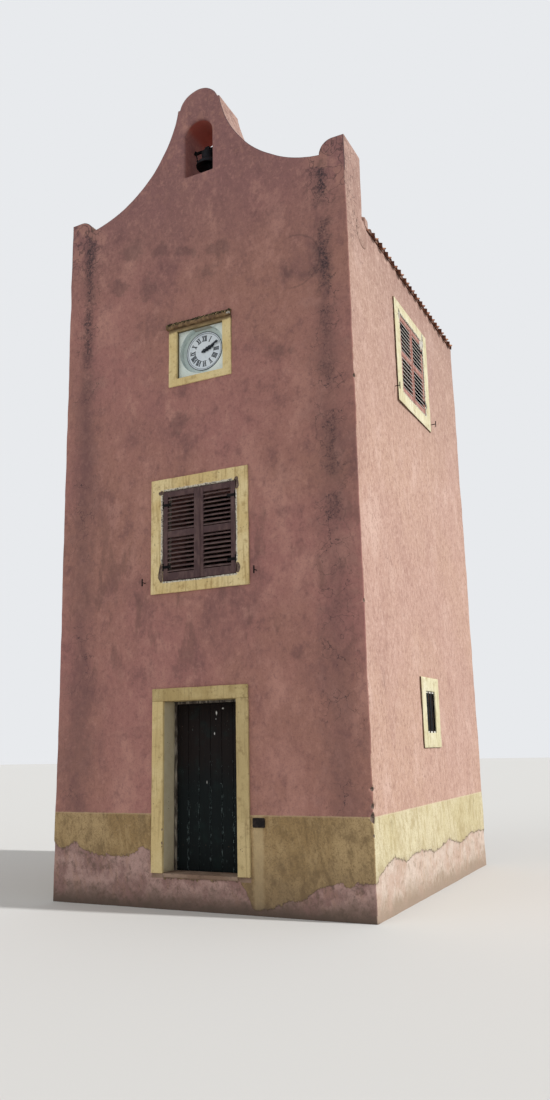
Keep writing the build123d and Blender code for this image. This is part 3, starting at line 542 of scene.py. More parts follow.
def worn(
    name, tones, scale, roughness=0.85, depth=0.003, stretch=None, gloss=0.3,
    drips=0.0, specks=None, reveal=None, recess=None, lip=None, shade=None,
):
    """A weathered finish in three tones: body, pale and dark, each in 0 to 255 values.

    drips is the strength of rain runs, and specks are (cells a metre, size). reveal is (depth behind
    the face, tone), and recess (place along Y from which another tone holds, tone). lip is the tone of
    broken plaster along an edge that the mesh's lip attribute marks. shade is painted shade that
    begins at one height and is full at another, as (begin, full, tone).
    """
    body, pale, dark = [paint(*tone) for tone in tones]
    f = Finish(name)
    close = f.noise(scale * 4.3, 5, stretch=stretch, rough=0.62)
    grain = f.noise(scale * 24, 3)
    height = f.plus(f.times(close, 0.7), f.times(grain, 0.3))
    colour = f.mix(f.mask(f.noise(scale, 5, stretch=stretch), 0.40, 0.66), body, pale)
    colour = f.laid(colour, dark, close, 0.52, 0.72, 0.65)
    colour = f.laid(colour, dark, grain, 0.50, 0.72, 0.25)
    if drips:
        colour = f.laid(colour, dark, f.noise(1.0, 5, stretch=(30, 30, 2.2), rough=0.6), 0.50, 0.66, drips)
    if shade:
        # painted shade: a darker tone laid from one height up, as under the clock's hood
        begin, full, stain = shade
        colour = f.laid(colour, paint(*stain), f.plus(f.z, f.swing(close, 0.04)), begin, full, 0.85)
    if reveal:
        start = FRONT_FACE + reveal[0]
        inner = f.mix(f.times(close, 0.6), paint(*reveal[1]), dark)
        colour = f.mix(f.mask(f.y, start, start + 0.012), colour, inner)
    if recess:
        colour = f.mix(f.mask(f.y, recess[0] - 0.003, recess[0]), colour, paint(*recess[1]))
    if specks:
        size = f.times(f.noise(7, 2), specks[1] * 2)
        chips = f.mask(f.minus(f.cells(specks[0]), size), 0.0, -0.03)
        chips = f.times(chips, f.mask(f.noise(3.1, 3), 0.50, 0.58))
        colour = f.mix(f.times(chips, 0.85), colour, CHIP)
        height = f.minus(height, f.times(chips, 0.8))
    if lip:
        ragged = f.plus(f.attribute("lip"), f.swing(f.noise(42, 5, rough=0.7), 0.9))
        colour = f.laid(colour, paint(*lip), ragged, 0.46, 0.60, 0.85)
        flecks = f.times(f.mask(ragged, 0.55, 0.66), f.mask(f.noise(60, 3), 0.50, 0.56))
        colour = f.mix(f.times(flecks, 0.85), colour, CHIP)
    f.shader.inputs["Specular IOR Level"].default_value = gloss
    return f.done(colour, roughness, height, depth=depth)

OCHRE = ((212, 189, 134), (222, 203, 152), (166, 141, 94))
TRIM_OCHRE = ((210, 186, 132), (224, 205, 156), (152, 122, 74))
SUNNY_OCHRE = ((206, 198, 162), (220, 214, 186), (160, 142, 102))
WEATHERED_OCHRE = ((174, 152, 104), (192, 172, 124), (128, 106, 70))
trim_stone = worn("trim_stone", TRIM_OCHRE, 2.3, drips=0.50, specks=(24, 0.15), lip=(206, 202, 190))
JAMB_OCHRE = ((204, 182, 130), (216, 197, 148), (156, 132, 88))
SHADED_OCHRE = ((184, 164, 118), (198, 178, 132), (138, 116, 78))
REVEAL = (208, 200, 174)
jamb_stone = worn("jamb_stone", JAMB_OCHRE, 2.3, drips=0.35, specks=(20, 0.12), reveal=(0.004, REVEAL))
# The right jamb's stone is a darker copy of the left jamb's: painted shade.
shaded_jamb_stone = worn(
    "shaded_jamb_stone", SHADED_OCHRE, 2.3, drips=0.45, specks=(20, 0.12), reveal=(0.004, REVEAL),
)
sunny_stone = worn("sunny_stone", SUNNY_OCHRE, 2.3, drips=0.55, specks=(24, 0.13), lip=(196, 190, 176))
# The clock's stone has a near-black reveal and a brown band under the hood: both painted shade.
clock_stone = worn(
    "clock_stone", OCHRE, 2.3, drips=0.15, reveal=(0.004, (40, 32, 25)), recess=(-2.354, (166, 166, 156)),
    shade=(7.225, 7.262, (108, 84, 62)),
)
lintel_stone = worn("lintel_stone", WEATHERED_OCHRE, 6.0, drips=0.35, specks=(22, 0.10))
hood_moss = worn("hood_moss", ((104, 80, 58), (138, 112, 80), (44, 36, 26)), 16.0, depth=0.006)
lichen = worn("lichen", ((132, 112, 74), (172, 152, 112), (70, 56, 38)), 34.0, depth=0.004)
moss = worn("moss", ((44, 38, 24), (88, 78, 50), (22, 19, 14)), 30.0, depth=0.005)
step_stone = worn("step_stone", ((128, 104, 88), (150, 128, 112), (84, 66, 56)), 3.4, specks=(16, 0.10))
clock_board_paint = worn(
    "clock_board_paint", ((216, 228, 222), (226, 234, 229), (190, 204, 198)), 4.5, roughness=0.6,
    depth=0.0012,
)
dial_paint = worn(
    "dial_paint", ((212, 221, 230), (220, 228, 234), (190, 203, 213)), 5.0, roughness=0.45, depth=0.0006,
)
recess_paint = worn(
    "recess_paint", ((192, 206, 204), (202, 214, 210), (160, 174, 172)), 7.0, roughness=0.6, depth=0.0006,
)
dial_ink = worn("dial_ink", ((24, 32, 40), (38, 46, 54), (16, 22, 28)), 12.0, roughness=0.5, depth=0.0006)
dark_iron = worn("dark_iron", ((48, 42, 40), (78, 62, 52), (28, 25, 25)), 14.0, depth=0.001, gloss=0.15)
plate_iron = worn("plate_iron", ((34, 30, 30), (54, 46, 44), (20, 18, 18)), 18.0, depth=0.001, gloss=0.1)
bell_metal = worn(
    "bell_metal", ((9, 9, 13), (24, 24, 30), (6, 6, 9)), 9.0, roughness=0.7, depth=0.001, gloss=0.2,
)
hanging_iron = worn("hanging_iron", ((12, 12, 15), (30, 27, 28), (8, 8, 10)), 14.0, depth=0.001, gloss=0.1)
front_shutter_paint = worn(
    "front_shutter_paint", ((74, 53, 54), (94, 72, 70), (52, 39, 41)), 7.0, roughness=0.75, depth=0.0012,
    stretch=(3, 3, 1),
)
front_slat_paint = worn(
    "front_slat_paint", ((86, 66, 66), (122, 100, 96), (58, 44, 45)), 12.0, roughness=0.75, depth=0.0012,
    stretch=(1, 3, 6),
)
side_shutter_paint = worn(
    "side_shutter_paint", ((158, 108, 97), (184, 146, 134), (108, 72, 66)), 8.0, roughness=0.8,
    depth=0.0012, stretch=(3, 3, 1),
)
side_slat_paint = worn(
    "side_slat_paint", ((220, 214, 208), (228, 224, 220), (186, 172, 164)), 12.0, roughness=0.8,
    depth=0.0012, stretch=(3, 1, 6),
)
# near black for faces that lie in shade: painted shade, on slat undersides, stones behind the leaves and
# casements
painted_shade_dark = worn("painted_shade_dark", ((14, 11, 12), (26, 20, 20), (8, 7, 7)), 12.0, depth=0.001, gloss=0.0)
# dark brown for stone faces that look to the front and down: painted shade
painted_edge_shade = worn("painted_edge_shade", ((84, 62, 48), (120, 92, 68), (44, 34, 30)), 18.0, depth=0.002)
frame_wood = worn(
    "frame_wood", ((66, 58, 52), (150, 142, 130), (30, 27, 26)), 13.0, roughness=0.85, depth=0.002,
    stretch=(3, 3, 0.5),
)
casement_paint = worn(
    "casement_paint", ((206, 202, 190), (216, 214, 206), (150, 140, 124)), 9.0, roughness=0.7, depth=0.001,
)
floor_wood = worn(
    "floor_wood", ((132, 102, 74), (156, 126, 94), (92, 68, 48)), 3.0, roughness=0.75, depth=0.0015,
    stretch=(8, 0.6, 8),
)
roof_clay = worn("roof_clay", ((158, 100, 70), (202, 146, 104), (84, 58, 46)), 9.0, depth=0.003)
# darker clay for the tiles' downward faces: painted shade
painted_shade_clay = worn("painted_shade_clay", ((88, 56, 46), (138, 92, 70), (46, 32, 30)), 22.0, depth=0.003)
broken_plaster = worn("broken_plaster", ((96, 78, 70), (134, 116, 102), (58, 48, 44)), 30.0, depth=0.004)
broken_stone = worn("broken_stone", ((176, 168, 156), (208, 204, 196), (50, 42, 38)), 15.0, depth=0.005)
print("finishes:", len(bpy.data.materials))

# %% [markdown]
# ## Door paint
# The door was painted dark several times. The paint is near black with a brown cast at the top and
# a green one lower down, and along the joints of the boards it has flaked to pale streaks. The
# joints are at known distances from the middle of the door, so the flakes gather there.

# %% Door paint
LEAF_INNER = 0.0025
LEAF_OUTER = 0.470
BOARDS = 3
BOARD_W = (LEAF_OUTER - LEAF_INNER) / BOARDS
DOOR_MIDDLE_Z = 1.4
DOOR_FLAKES = (
    ((0.088, 2.235), (0.010, 0.028)), ((0.080, 2.165), (0.004, 0.012)), ((0.179, 2.287), (0.014, 0.010)),
    ((0.429, 2.264), (0.014, 0.012)), ((0.06, 1.99), (0.006, 0.016)), ((-0.05, 1.42), (0.005, 0.018)),
)

def door_finish():
    """Dark paint, flaked along the joints of the boards."""
    f = Finish("door_paint")
    fibre = f.noise(1.0, 6, stretch=(95, 95, 3.0), rough=0.65)
    close = f.noise(26, 5, rough=0.65)
    upper = f.mask(f.plus(f.z, f.swing(f.noise(2.1, 4), 1.1)), DOOR_MIDDLE_Z - 0.35, DOOR_MIDDLE_Z + 0.55)
    colour = f.mix(upper, paint(17, 23, 24), paint(27, 21, 20))
    colour = f.laid(colour, paint(9, 9, 10), fibre, 0.50, 0.68, 0.55)
    colour = f.laid(colour, paint(23, 36, 35), f.noise(4.2, 4), 0.52, 0.68, 0.5)
    across = f.maths("DIVIDE", f.minus(f.size_of(f.x), LEAF_INNER), BOARD_W)
    near_joint = f.mask(f.size_of(f.minus(f.maths("FRACT", f.plus(across, 0.5)), 0.5)), 0.20, 0.02)
    low_down = f.mask(f.z, 2.0, 1.0)
    flakes = f.noise(1.0, 5, stretch=(120, 120, 14), rough=0.72)
    worn_through = f.mask(f.plus(flakes, f.times(near_joint, low_down, 0.10)), 0.665, 0.70)
    colour = f.mix(f.times(worn_through, 0.85), colour, paint(128, 146, 146))
    for place, reach in DOOR_FLAKES:
        peeled = f.spot(place, reach, f.swing(close, 1.6))
        colour = f.mix(peeled, colour, paint(204, 204, 202))
    f.shader.inputs["Specular IOR Level"].default_value = 0.12
    relief = f.plus(f.times(fibre, 0.7), f.times(close, 0.25))
    relief = f.minus(relief, f.times(worn_through, 0.4))
    return f.done(colour, 0.75, relief, depth=0.002)

door_paint = door_finish()
print("door paint:", len(door_paint.node_tree.nodes), "nodes")

# %% [markdown]
# ## Glass
# The two small windows hold old dusty glass. Only a dark room lies behind it, and the dust takes
# its gloss. The glass's own colour is near black, painted shade of that room, so it reads as a black
# sheet. Some transmission is kept, because the room is there.

# %% Glass
window_glass = bpy.data.materials.new("window_glass")
window_glass.use_nodes = True
pane = window_glass.node_tree.nodes["Principled BSDF"]
# a near-black base colour: painted shade of the dark room behind
for socket, value in (
    ("Base Color", paint(14, 15, 18)), ("Roughness", 0.12), ("Transmission Weight", 0.3),
    ("IOR", 1.08), ("Specular IOR Level", 0.2),
):
    pane.inputs[socket].default_value = value
print("glass ready")

# %% [markdown]
# ## Walls
# A wall from the construction is a handful of huge flat faces. Real plaster wanders by a few
# millimetres and its arrises are rubbed round. So each wall is copied, its outer arrises are
# bevelled, its faces are cut into a grid of small cells, and every point is pushed by smooth noise.
# The push depends only on where a point is, so walls that meet stay shut, and it fades to nothing
# towards the room, where floors have to fit.

# %% Helpers for copied pieces
SAME_POINT = 0.00002

def object_of(name, mesh):
    """A new object of the scene with this mesh."""
    made = bpy.data.objects.new(name, mesh)
    scene.collection.objects.link(made)
    return made

def without_seams(shell, reach):
    """Joins points within reach of each other, and faces that lie in one plane."""
    bmesh.ops.remove_doubles(shell, verts=shell.verts, dist=reach)
    bmesh.ops.dissolve_limit(shell, angle_limit=radians(0.3), verts=shell.verts, edges=shell.edges)

def merged(node):
    """A copy of a node's mesh with its loose triangles joined, as an object for mesh work."""
    shell = bmesh.new()
    shell.from_mesh(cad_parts[node].data)
    without_seams(shell, SAME_POINT)
    return object_of(node + "_copy", mesh_of(node + "_copy", shell))

def mesh_of(name, shell, material=None):
    """Turns a bmesh into a mesh, with one material if it is given."""
    mesh = bpy.data.meshes.new(name)
    shell.to_mesh(mesh)
    shell.free()
    if material:
        mesh.materials.append(material)
    return mesh

def baked(thing):
    """The mesh of an object with its modifiers worked in."""
    bpy.context.view_layer.update()
    return bpy.data.meshes.new_from_object(thing.evaluated_get(bpy.context.evaluated_depsgraph_get()))

def cut_or_join(thing, others, operation):
    """Works other objects into one, as a union or a difference, and removes them."""
    for other in others:
        layer = thing.modifiers.new(operation.lower(), "BOOLEAN")
        layer.operation = operation
        layer.solver = "EXACT"
        layer.material_mode = "TRANSFER"
        layer.object = other
    mesh = baked(thing)
    thing.modifiers.clear()
    for other in others:
        bpy.data.objects.remove(other)
    return mesh

def joined_nodes(nodes):
    """One bmesh of several touching nodes, without the faces between them."""
    copies = [merged(node) for node in nodes]
    shell = bmesh.new()
    shell.from_mesh(cut_or_join(copies[0], copies[1:], "UNION"))
    bpy.data.objects.remove(copies[0])
    without_seams(shell, 2.5 * SAME_POINT)
    return shell

def cut_across(shell, axis, places, faces=None):
    """Cuts the faces along planes square to one axis."""
    normal = Vector([float(axis == k) for k in range(3)])
    for value in places:
        chosen = [face for face in shell.faces if faces is None or faces(face)]
        geometry = set(chosen)
        for face in chosen:
            geometry.update(face.edges)
            geometry.update(face.verts)
        bmesh.ops.bisect_plane(
            shell, geom=list(geometry), dist=0.0001, plane_co=normal * value, plane_no=normal,
        )

def cut_into_cells(shell, cell, faces=None, top=None):
    """Cuts every face along a grid of planes, cell metres apart along each axis."""
    for axis in range(3):
        values = [vert.co[axis] for vert in shell.verts]
        low, high = min(values), max(values)
        if top is not None and axis == 2:
            high = top
        count = max(1, round((high - low) / cell[axis]))
        cut_across(shell, axis, [low + (high - low) * i / count for i in range(1, count)], faces)

def wander(point, layers):
    """A smooth push that depends on the place alone; each layer is (size of a lump, amount)."""
    push = Vector()
    for size, amount in layers:
        push += noise.noise_vector(point / size) * amount
    return push

def piece(name, shell, material, body, replaces=()):
    """A finished object from a bmesh, riding on a body."""
    bmesh.ops.triangulate(shell, faces=[face for face in shell.faces if len(face.verts) > 4])
    return dressed(name, mesh_of(name, shell, material), body, replaces)

def dressed(name, mesh, body, replaces=()):
    """A finished object from a mesh: its shading, body and the nodes that it stands for."""
    made = object_of(name, mesh)
    smooth(mesh)
    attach(made, body)
    if replaces:
        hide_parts(*replaces)
    return made

def smooth(mesh):
    """Smooth shading with sharp arrises kept."""
    mesh.polygons.foreach_set("use_smooth", [True] * len(mesh.polygons))
    mesh.set_sharp_from_angle(angle=radians(38))

def rounded(shell, edges, width, segments=2):
    """Bevels some edges of a shell."""
    bmesh.ops.bevel(
        shell, geom=edges, offset=width, segments=segments, profile=0.5, affect="EDGES", clamp_overlap=True,
    )

def ball():
    """A ball of radius 1 to be shaped."""
    shell = bmesh.new()
    bmesh.ops.create_icosphere(shell, subdivisions=2, radius=1.0)
    return shell

def refinish(mesh, material, chosen):
    """Gives the chosen faces of a mesh another material."""
    mesh.materials.append(material)
    for face in mesh.polygons:
        if chosen(face):
            face.material_index = len(mesh.materials) - 1

print("helpers ready")

# %% Walls
WALL_CELL = (0.075, 0.15, 0.075)
SIDE_CELL = (0.15, 0.075, 0.075)
FOOT_CELL = (0.028, 0.056, 0.028)
FOOT_TOP = 0.86
ARRIS = 0.016
ARCH_ARRIS = 0.030
PLASTER_LUMPS = ((1.3, 0.010), (0.34, 0.006), (0.13, 0.003))
COAT_THICKNESS = 0.007
TOUCHING = 0.0005
wall_low, wall_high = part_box("rear_wall")
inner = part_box("ground_floor")[1]
gable_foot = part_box("bell_gable")[0].z
GABLE_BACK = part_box("bell_gable")[1].y

# The edge where the ochre coat has come off, as (place along the wall, height)
FRONT_BARE_LINE = (
    (-2.15, 0.72), (-2.08, 0.66), (-1.98, 0.64), (-1.80, 0.73), (-1.71, 0.64), (-1.56, 0.58), (-1.22, 0.57),
    (-1.00, 0.57), (-0.90, 0.63), (-0.80, 0.69), (-0.69, 0.64), (-0.66, 0.38), (-0.50, 0.36), (-0.38, 0.34),
    (0.52, 0.36), (0.60, 0.24), (0.68, 0.08), (0.86, 0.06), (0.98, 0.12), (1.30, 0.20), (1.55, 0.35),
    (1.72, 0.40), (1.86, 0.34), (1.92, 0.39), (2.15, 0.40),
)
SIDE_BARE_LINE = (
    (-2.40, 0.36), (-2.24, 0.48), (-1.99, 0.54), (-1.78, 0.60), (-1.57, 0.54), (-1.38, 0.50), (-1.17, 0.53),
    (-0.90, 0.55), (-0.62, 0.54), (-0.20, 0.48), (0.40, 0.56), (1.00, 0.46), (1.60, 0.55), (2.40, 0.50),
)

def within(value):
    """A value held between 0 and 1."""
    return min(1.0, max(0.0, value))

def line_height(line, place):
    """The height of a line of points at a place along it."""
    for (start, low), (end, high) in zip(line, line[1:]):
        if place <= end:
            return low + (high - low) * max(0.0, place - start) / (end - start)
    return line[-1][1]

def peeled(point):
    """How far the coat is gone, 0 to 1, with 0.5 on the line."""
    on_front = abs(point.y - FRONT_FACE) < 0.1
    line, along = (FRONT_BARE_LINE, point.x) if on_front else (SIDE_BARE_LINE, point.y)
    wobble = noise.noise(point / 0.11) * 0.02
    return within(0.5 + (line_height(line, along) + wobble - point.z) / 0.09)

def outside(point):
    """0 at the room's own walls and 1 at the outer faces."""
    depth = max(abs(point.x) - inner.x, abs(point.y) - inner.y, point.z - gable_foot)
    return within(depth / 0.3)

def plastered(shell):
    """Pushes the points of a plastered shell, thins it where it is bare, and marks those places."""
    mark = shell.verts.layers.float.new("peeled")
    rim = shell.verts.layers.float.new("rim")
    for vert in shell.verts:
        rest = vert.co.copy()
        on_gable = rest.z > gable_foot + 0.3
        vert[rim] = float(on_gable and rest.y > FRONT_FACE + 0.001 and not in_arch(rest))
        push = wander(rest, PLASTER_LUMPS) * outside(rest)
        push.z = min(0.0, push.z) * float(on_gable)
        vert[mark] = peeled(rest) * float(outside(rest) > 0.9)
        inwards = Vector((-rest.x, -rest.y, 0))
        for axis, reach in ((0, wall_high.x), (1, wall_high.y)):
            if reach - abs(rest[axis]) > 0.02:
                inwards[axis] = 0
        gone = within((vert[mark] - 0.35) / 0.3)
        if inwards.length > 0:
            push += Vector([(1 if v > 0 else -1) * float(v != 0) for v in inwards]) * COAT_THICKNESS * gone
        vert.co += push

def in_arch(point, reach=0.03):
    """Whether a point belongs to the arch that the bell hangs in."""
    return abs(point.x) < ARCH_HALF + reach and ARCH_SILL_Z - reach < point.z < ARCH_TOP_Z + reach

def is_sharp(edge):
    """Whether an edge is an outward corner."""
    return len(edge.link_faces) == 2 and edge.calc_face_angle(0) > radians(30) and edge.is_convex

def wall_arrises(shell, back):
    """The outer corners of a wall; of a free-standing gable also the edges of its top."""
    chosen = []
    for edge in shell.edges:
        if not is_sharp(edge):
            continue
        ends = [vert.co for vert in edge.verts]
        heights = [end.z for end in ends]

        def along(y):
            return all(abs(end.y - y) < TOUCHING for end in ends)

        corner = along(back) and all(abs(abs(end.x) - wall_high.x) < TOUCHING for end in ends)
        top = min(heights) > gable_foot - 0.001 and max(heights) > gable_foot + 0.001
        if corner or (top and back == FRONT_FACE and (along(FRONT_FACE) or along(GABLE_BACK))):
            chosen.append(edge)
    return chosen

def in_foot(face):
    """Faces of the foot of a wall, on its outside."""
    centre = face.calc_center_median()
    return centre.z < FOOT_TOP + 0.05 and outside(centre) > 0.9

def plastered_wall(name, nodes, cell, material, arris_face=None, broken=()):
    """One wall of the tower, made from one or more nodes; broken lists the places of chipped arrises."""
    shell = joined_nodes(nodes)
    if arris_face is not None:
        edges = wall_arrises(shell, arris_face)
        arch = [edge for edge in edges if in_arch(edge.verts[0].co, 0.002)]
        others = [edge for edge in edges if edge not in arch]
        rounded(shell, arch, ARCH_ARRIS, 3)
        rounded(shell, others, ARRIS, 3)
    cut_into_cells(shell, cell)
    cut_into_cells(shell, FOOT_CELL, in_foot, FOOT_TOP)
    plastered(shell)
    wall = piece(name, shell, material, "tower", nodes)
    if broken:
        chip(wall, broken)
    return wall

# %% [markdown]
# ### Broken places
# Knocks have broken bits off the arrises, and the stones are broken round the shutter hinges. A
# lump with a rough surface is cut out of the piece, and the cut keeps the lump's own material, so
# the broken face shows the grey inside of the plaster.

# %% Broken places
def rough_lump(place, size, seed, inside):
    """A rough faceted lump; size is its reach along each axis, and inside the finish that it leaves."""
    shell = ball()
    for vert in shell.verts:
        vert.co *= 1 + 0.35 * noise.noise(vert.co * 1.3 + Vector((seed * 3.7, 0, 0)))
        vert.co = Vector([vert.co[k] * size[k] for k in range(3)]) + Vector(place)
    return object_of("lump", mesh_of("lump", shell, inside))

def chip(thing, places, inside=broken_plaster):
    """Cuts a rough lump out at each place, given as (centre, size)."""
    lumps = [rough_lump(place, size, i, inside) for i, (place, size) in enumerate(places)]
    mesh = cut_or_join(thing, lumps, "DIFFERENCE")
    old, thing.data = thing.data, mesh
    bpy.data.meshes.remove(old)
    smooth(thing.data)

# Chips of the corner between front and right, as (height, size, how much taller than wide)
CORNER_CHIPS = (
    (1.36, 0.026, 1.0), (1.18, 0.026, 1.3), (1.065, 0.042, 1.5), (0.88, 0.018, 1.2), (6.1, 0.02, 1.4),
    (3.4, 0.016, 1.5),
)
corner_chips = [((wall_high.x, FRONT_FACE, z), (size, size, size * tall)) for z, size, tall in CORNER_CHIPS]
front_nodes = ("front_wall_upper", "front_wall_left", "front_wall_right", "bell_gable")
walls = [
    plastered_wall("front_wall_plaster", front_nodes, WALL_CELL, front_plaster, FRONT_FACE, corner_chips),
    plastered_wall("right_wall_plaster", ("right_wall",), SIDE_CELL, side_plaster),
    plastered_wall("left_wall_plaster", ("left_wall",), SIDE_CELL, side_plaster),
    plastered_wall("rear_wall_plaster", ("rear_wall",), WALL_CELL, side_plaster, wall_high.y),
]
print("walls:", {wall.name: len(wall.data.polygons) for wall in walls})

# %% [markdown]
# ### Finishes that follow a face
# The front wall turns the corner: its end face looks to the right and stands in the sun like the
# side walls. So the faces of the front piece that look sideways get the side finish, and so do the
# tops and the back of the gable; those that look to the front keep their own. Under the doorsill
# the wall carries on as plaster.

# %% Sideways faces and the foot under the door
NOSING_FOOT = 0.350

def in_the_sun(face):
    """Plaster of the front piece that looks sideways, or up or back from the gable."""
    sideways = abs(face.normal.x) > 0.72 and abs(face.center.x) > wall_high.x - 0.05
    aloft = face.normal.y > -0.5 and face.center.z > gable_foot and not in_arch(face.center)
    return (sideways or aloft) and face.material_index == 0

refinish(walls[0].data, side_plaster, in_the_sun)
sill = joined_nodes(("door_threshold",))
upper_edges = [edge for edge in sill.edges if is_sharp(edge) and min(v.co.z for v in edge.verts) > 0.3]
rounded(sill, upper_edges, 0.006)
cut_into_cells(sill, FOOT_CELL)
plastered(sill)
threshold = piece("door_threshold_worn", sill, step_stone, "tower", ("door_threshold",))
refinish(threshold.data, front_plaster, lambda face: face.center.z < NOSING_FOOT and face.normal.z < 0.5)
print("threshold:", len(threshold.data.polygons), "faces")

# %% [markdown]
# ## One tree that lays a piece in rows
# Tiles, louvres and nails all repeat one piece on a grid of places. A Geometry Nodes tree does that
# for all of them: a grid of points, an instance of the piece on each, a little seeded disorder in
# place and turn, then real mesh and a material at the end.

# %% Rows tree
def rows_tree():
    """Lays one object on a grid in the XY plane; the grid is centred on the origin."""
    tree = bpy.data.node_groups.new("laid_in_rows", "GeometryNodeTree")
    sockets = (
        ("Piece", "NodeSocketObject"), ("Across", "NodeSocketInt"), ("Along", "NodeSocketInt"),
        ("Step across", "NodeSocketFloat"), ("Step along", "NodeSocketFloat"), ("Shift", "NodeSocketVector"),
        ("Turn", "NodeSocketVector"), ("Lean", "NodeSocketVector"), ("Seed", "NodeSocketInt"),
        ("Finish", "NodeSocketMaterial"),
    )
    for title, kind in sockets:
        tree.interface.new_socket(name=title, in_out="INPUT", socket_type=kind)
    tree.interface.new_socket(name="Geometry", in_out="OUTPUT", socket_type="NodeSocketGeometry")
    given = add_node(tree, "NodeGroupInput").outputs

    def span(count, step):
        gaps = add_node(tree, "ShaderNodeMath", {0: given[count], 1: 1.0}, operation="SUBTRACT").outputs[0]
        return add_node(tree, "ShaderNodeMath", {0: gaps, 1: given[step]}, operation="MULTIPLY").outputs[0]

    def disorder(amount, seed_step):
        turned_back = {0: given[amount], 1: (-1, -1, -1)}
        lowest = add_node(tree, "ShaderNodeVectorMath", turned_back, operation="MULTIPLY")
        seed = add_node(tree, "ShaderNodeMath", {0: given["Seed"], 1: float(seed_step)}, operation="ADD")
        inputs = {0: lowest.outputs[0], 1: given[amount], "Seed": seed.outputs[0]}
        return add_node(tree, "FunctionNodeRandomValue", inputs, data_type="FLOAT_VECTOR").outputs[0]

    grid = add_node(tree, "GeometryNodeMeshGrid", {
        "Size X": span("Across", "Step across"), "Size Y": span("Along", "Step along"),
        "Vertices X": given["Across"], "Vertices Y": given["Along"],
    })
    shifted = {"Geometry": grid.outputs["Mesh"], "Offset": disorder("Shift", 0)}
    moved = add_node(tree, "GeometryNodeSetPosition", shifted)
    source = add_node(tree, "GeometryNodeObjectInfo", {"Object": given["Piece"], "As Instance": True})
    leaning = {0: given["Lean"], 1: disorder("Turn", 7)}
    turned = add_node(tree, "ShaderNodeVectorMath", leaning, operation="ADD")
    laid = add_node(tree, "GeometryNodeInstanceOnPoints", {
        "Points": moved.outputs[0], "Instance": source.outputs["Geometry"], "Rotation": turned.outputs[0],
    })
    real = add_node(tree, "GeometryNodeRealizeInstances", {0: laid.outputs[0]})
    painted = {"Geometry": real.outputs[0], "Material": given["Finish"]}
    finished = add_node(tree, "GeometryNodeSetMaterial", painted)
    add_node(tree, "NodeGroupOutput", {0: finished.outputs[0]})
    return tree

ROWS_TREE = rows_tree()
ROWS_SOCKETS = {
    item.name: item.identifier for item in ROWS_TREE.interface.items_tree if item.in_out == "INPUT"
}
NONE = (0, 0, 0)

def laid_in_rows(pattern, counts, steps, place, finish, shift=NONE, turn=NONE, lean=NONE, seed=1):
    """The mesh of a pattern mesh repeated on a grid, moved to its place by a matrix."""
    source = object_of("pattern", pattern)
    carrier = object_of("carrier", bpy.data.meshes.new("carrier"))
    layer = carrier.modifiers.new("rows", "NODES")
    layer.node_group = ROWS_TREE
    values = {
        "Piece": source, "Across": counts[0], "Along": counts[1], "Step across": float(steps[0]),
        "Step along": float(steps[1]), "Shift": shift, "Turn": turn, "Lean": lean, "Seed": seed,
        "Finish": finish,
    }
    for title, value in values.items():
        layer[ROWS_SOCKETS[title]] = value
    mesh = baked(carrier)
    mesh.transform(place)
    for thing in (source, carrier):
        bpy.data.objects.remove(thing)
    return mesh

def joined_mesh(name, meshes):
    """Several meshes as one, each face with its own material kept."""
    shell = bmesh.new()
    materials = []
    for mesh in meshes:
        start = len(shell.faces)
        shell.from_mesh(mesh)
        shell.faces.ensure_lookup_table()
        for face in shell.faces[start:]:
            own = mesh.materials[face.material_index]
            if own not in materials:
                materials.append(own)
            face.material_index = materials.index(own)
    made = mesh_of(name, shell)
    for material in materials:
        made.materials.append(material)
    return made

print("rows tree:", len(ROWS_TREE.nodes), "nodes, inputs", list(ROWS_SOCKETS))

# %% [markdown]
# ## Roof tiles
# The roof is laid with barrel tiles: hollow channels with their open side up, and covers over the
# joints between them. Each is a tapering half pipe of fired clay, so that one slips under the
# next. One tile of each kind is enough, and the rows tree lays them up both slopes. Along the eave
# the covers' ends are stopped with mortar, and the ridge tiles lie in a bed of it. The faces that
# look down are given a darker clay: painted shade.

# %% Roof tiles
PITCH = radians(24)
TILE_LENGTH = 0.42
TILE_SKIN = 0.014
COURSES = 7
ROWS = 16
ARC_STEPS = 9

def barrel_tile(name, low_radius, high_radius, half_angle, opens_up):
    """A tapering half pipe along +Y, open side down, or up for a channel."""
    shell = bmesh.new()
    rings = []
    for y, radius in ((0.0, low_radius), (TILE_LENGTH, high_radius)):
        for skin in (radius, radius - TILE_SKIN):
            ring = []
            for i in range(ARC_STEPS + 1):
                angle = -half_angle + 2 * half_angle * i / ARC_STEPS
                z = skin * cos(angle) - radius * cos(half_angle)
                ring.append(shell.verts.new((skin * sin(angle), y, -z if opens_up else z)))
            rings.append(ring)
    outer_low, inner_low, outer_high, inner_high = rings
    for i in range(ARC_STEPS):
        shell.faces.new((outer_low[i], outer_low[i + 1], outer_high[i + 1], outer_high[i]))
        shell.faces.new((inner_low[i + 1], inner_low[i], inner_high[i], inner_high[i + 1]))
        shell.faces.new((outer_low[i + 1], outer_low[i], inner_low[i], inner_low[i + 1]))
        shell.faces.new((outer_high[i], outer_high[i + 1], inner_high[i + 1], inner_high[i]))
    for i in (0, ARC_STEPS):
        shell.faces.new((outer_low[i], outer_high[i], inner_high[i], inner_low[i]))
    bmesh.ops.recalc_face_normals(shell, faces=shell.faces)
    return mesh_of(name, shell)

tiles_low, tiles_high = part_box("roof_tiles_right")
field_front, field_back = tiles_low.y, tiles_high.y
row_step = (field_back - field_front) / ROWS
EAVE_X = 2.195
EAVE_Z = 8.380
COVER_BACK = 0.045
slope_length = EAVE_X / cos(PITCH)
course_step = (slope_length - TILE_LENGTH - COVER_BACK) / (COURSES - 1)
cover = barrel_tile("cover_tile", 0.086, 0.074, radians(66), opens_up=False)
channel = barrel_tile("channel_tile", 0.092, 0.104, radians(62), opens_up=True)

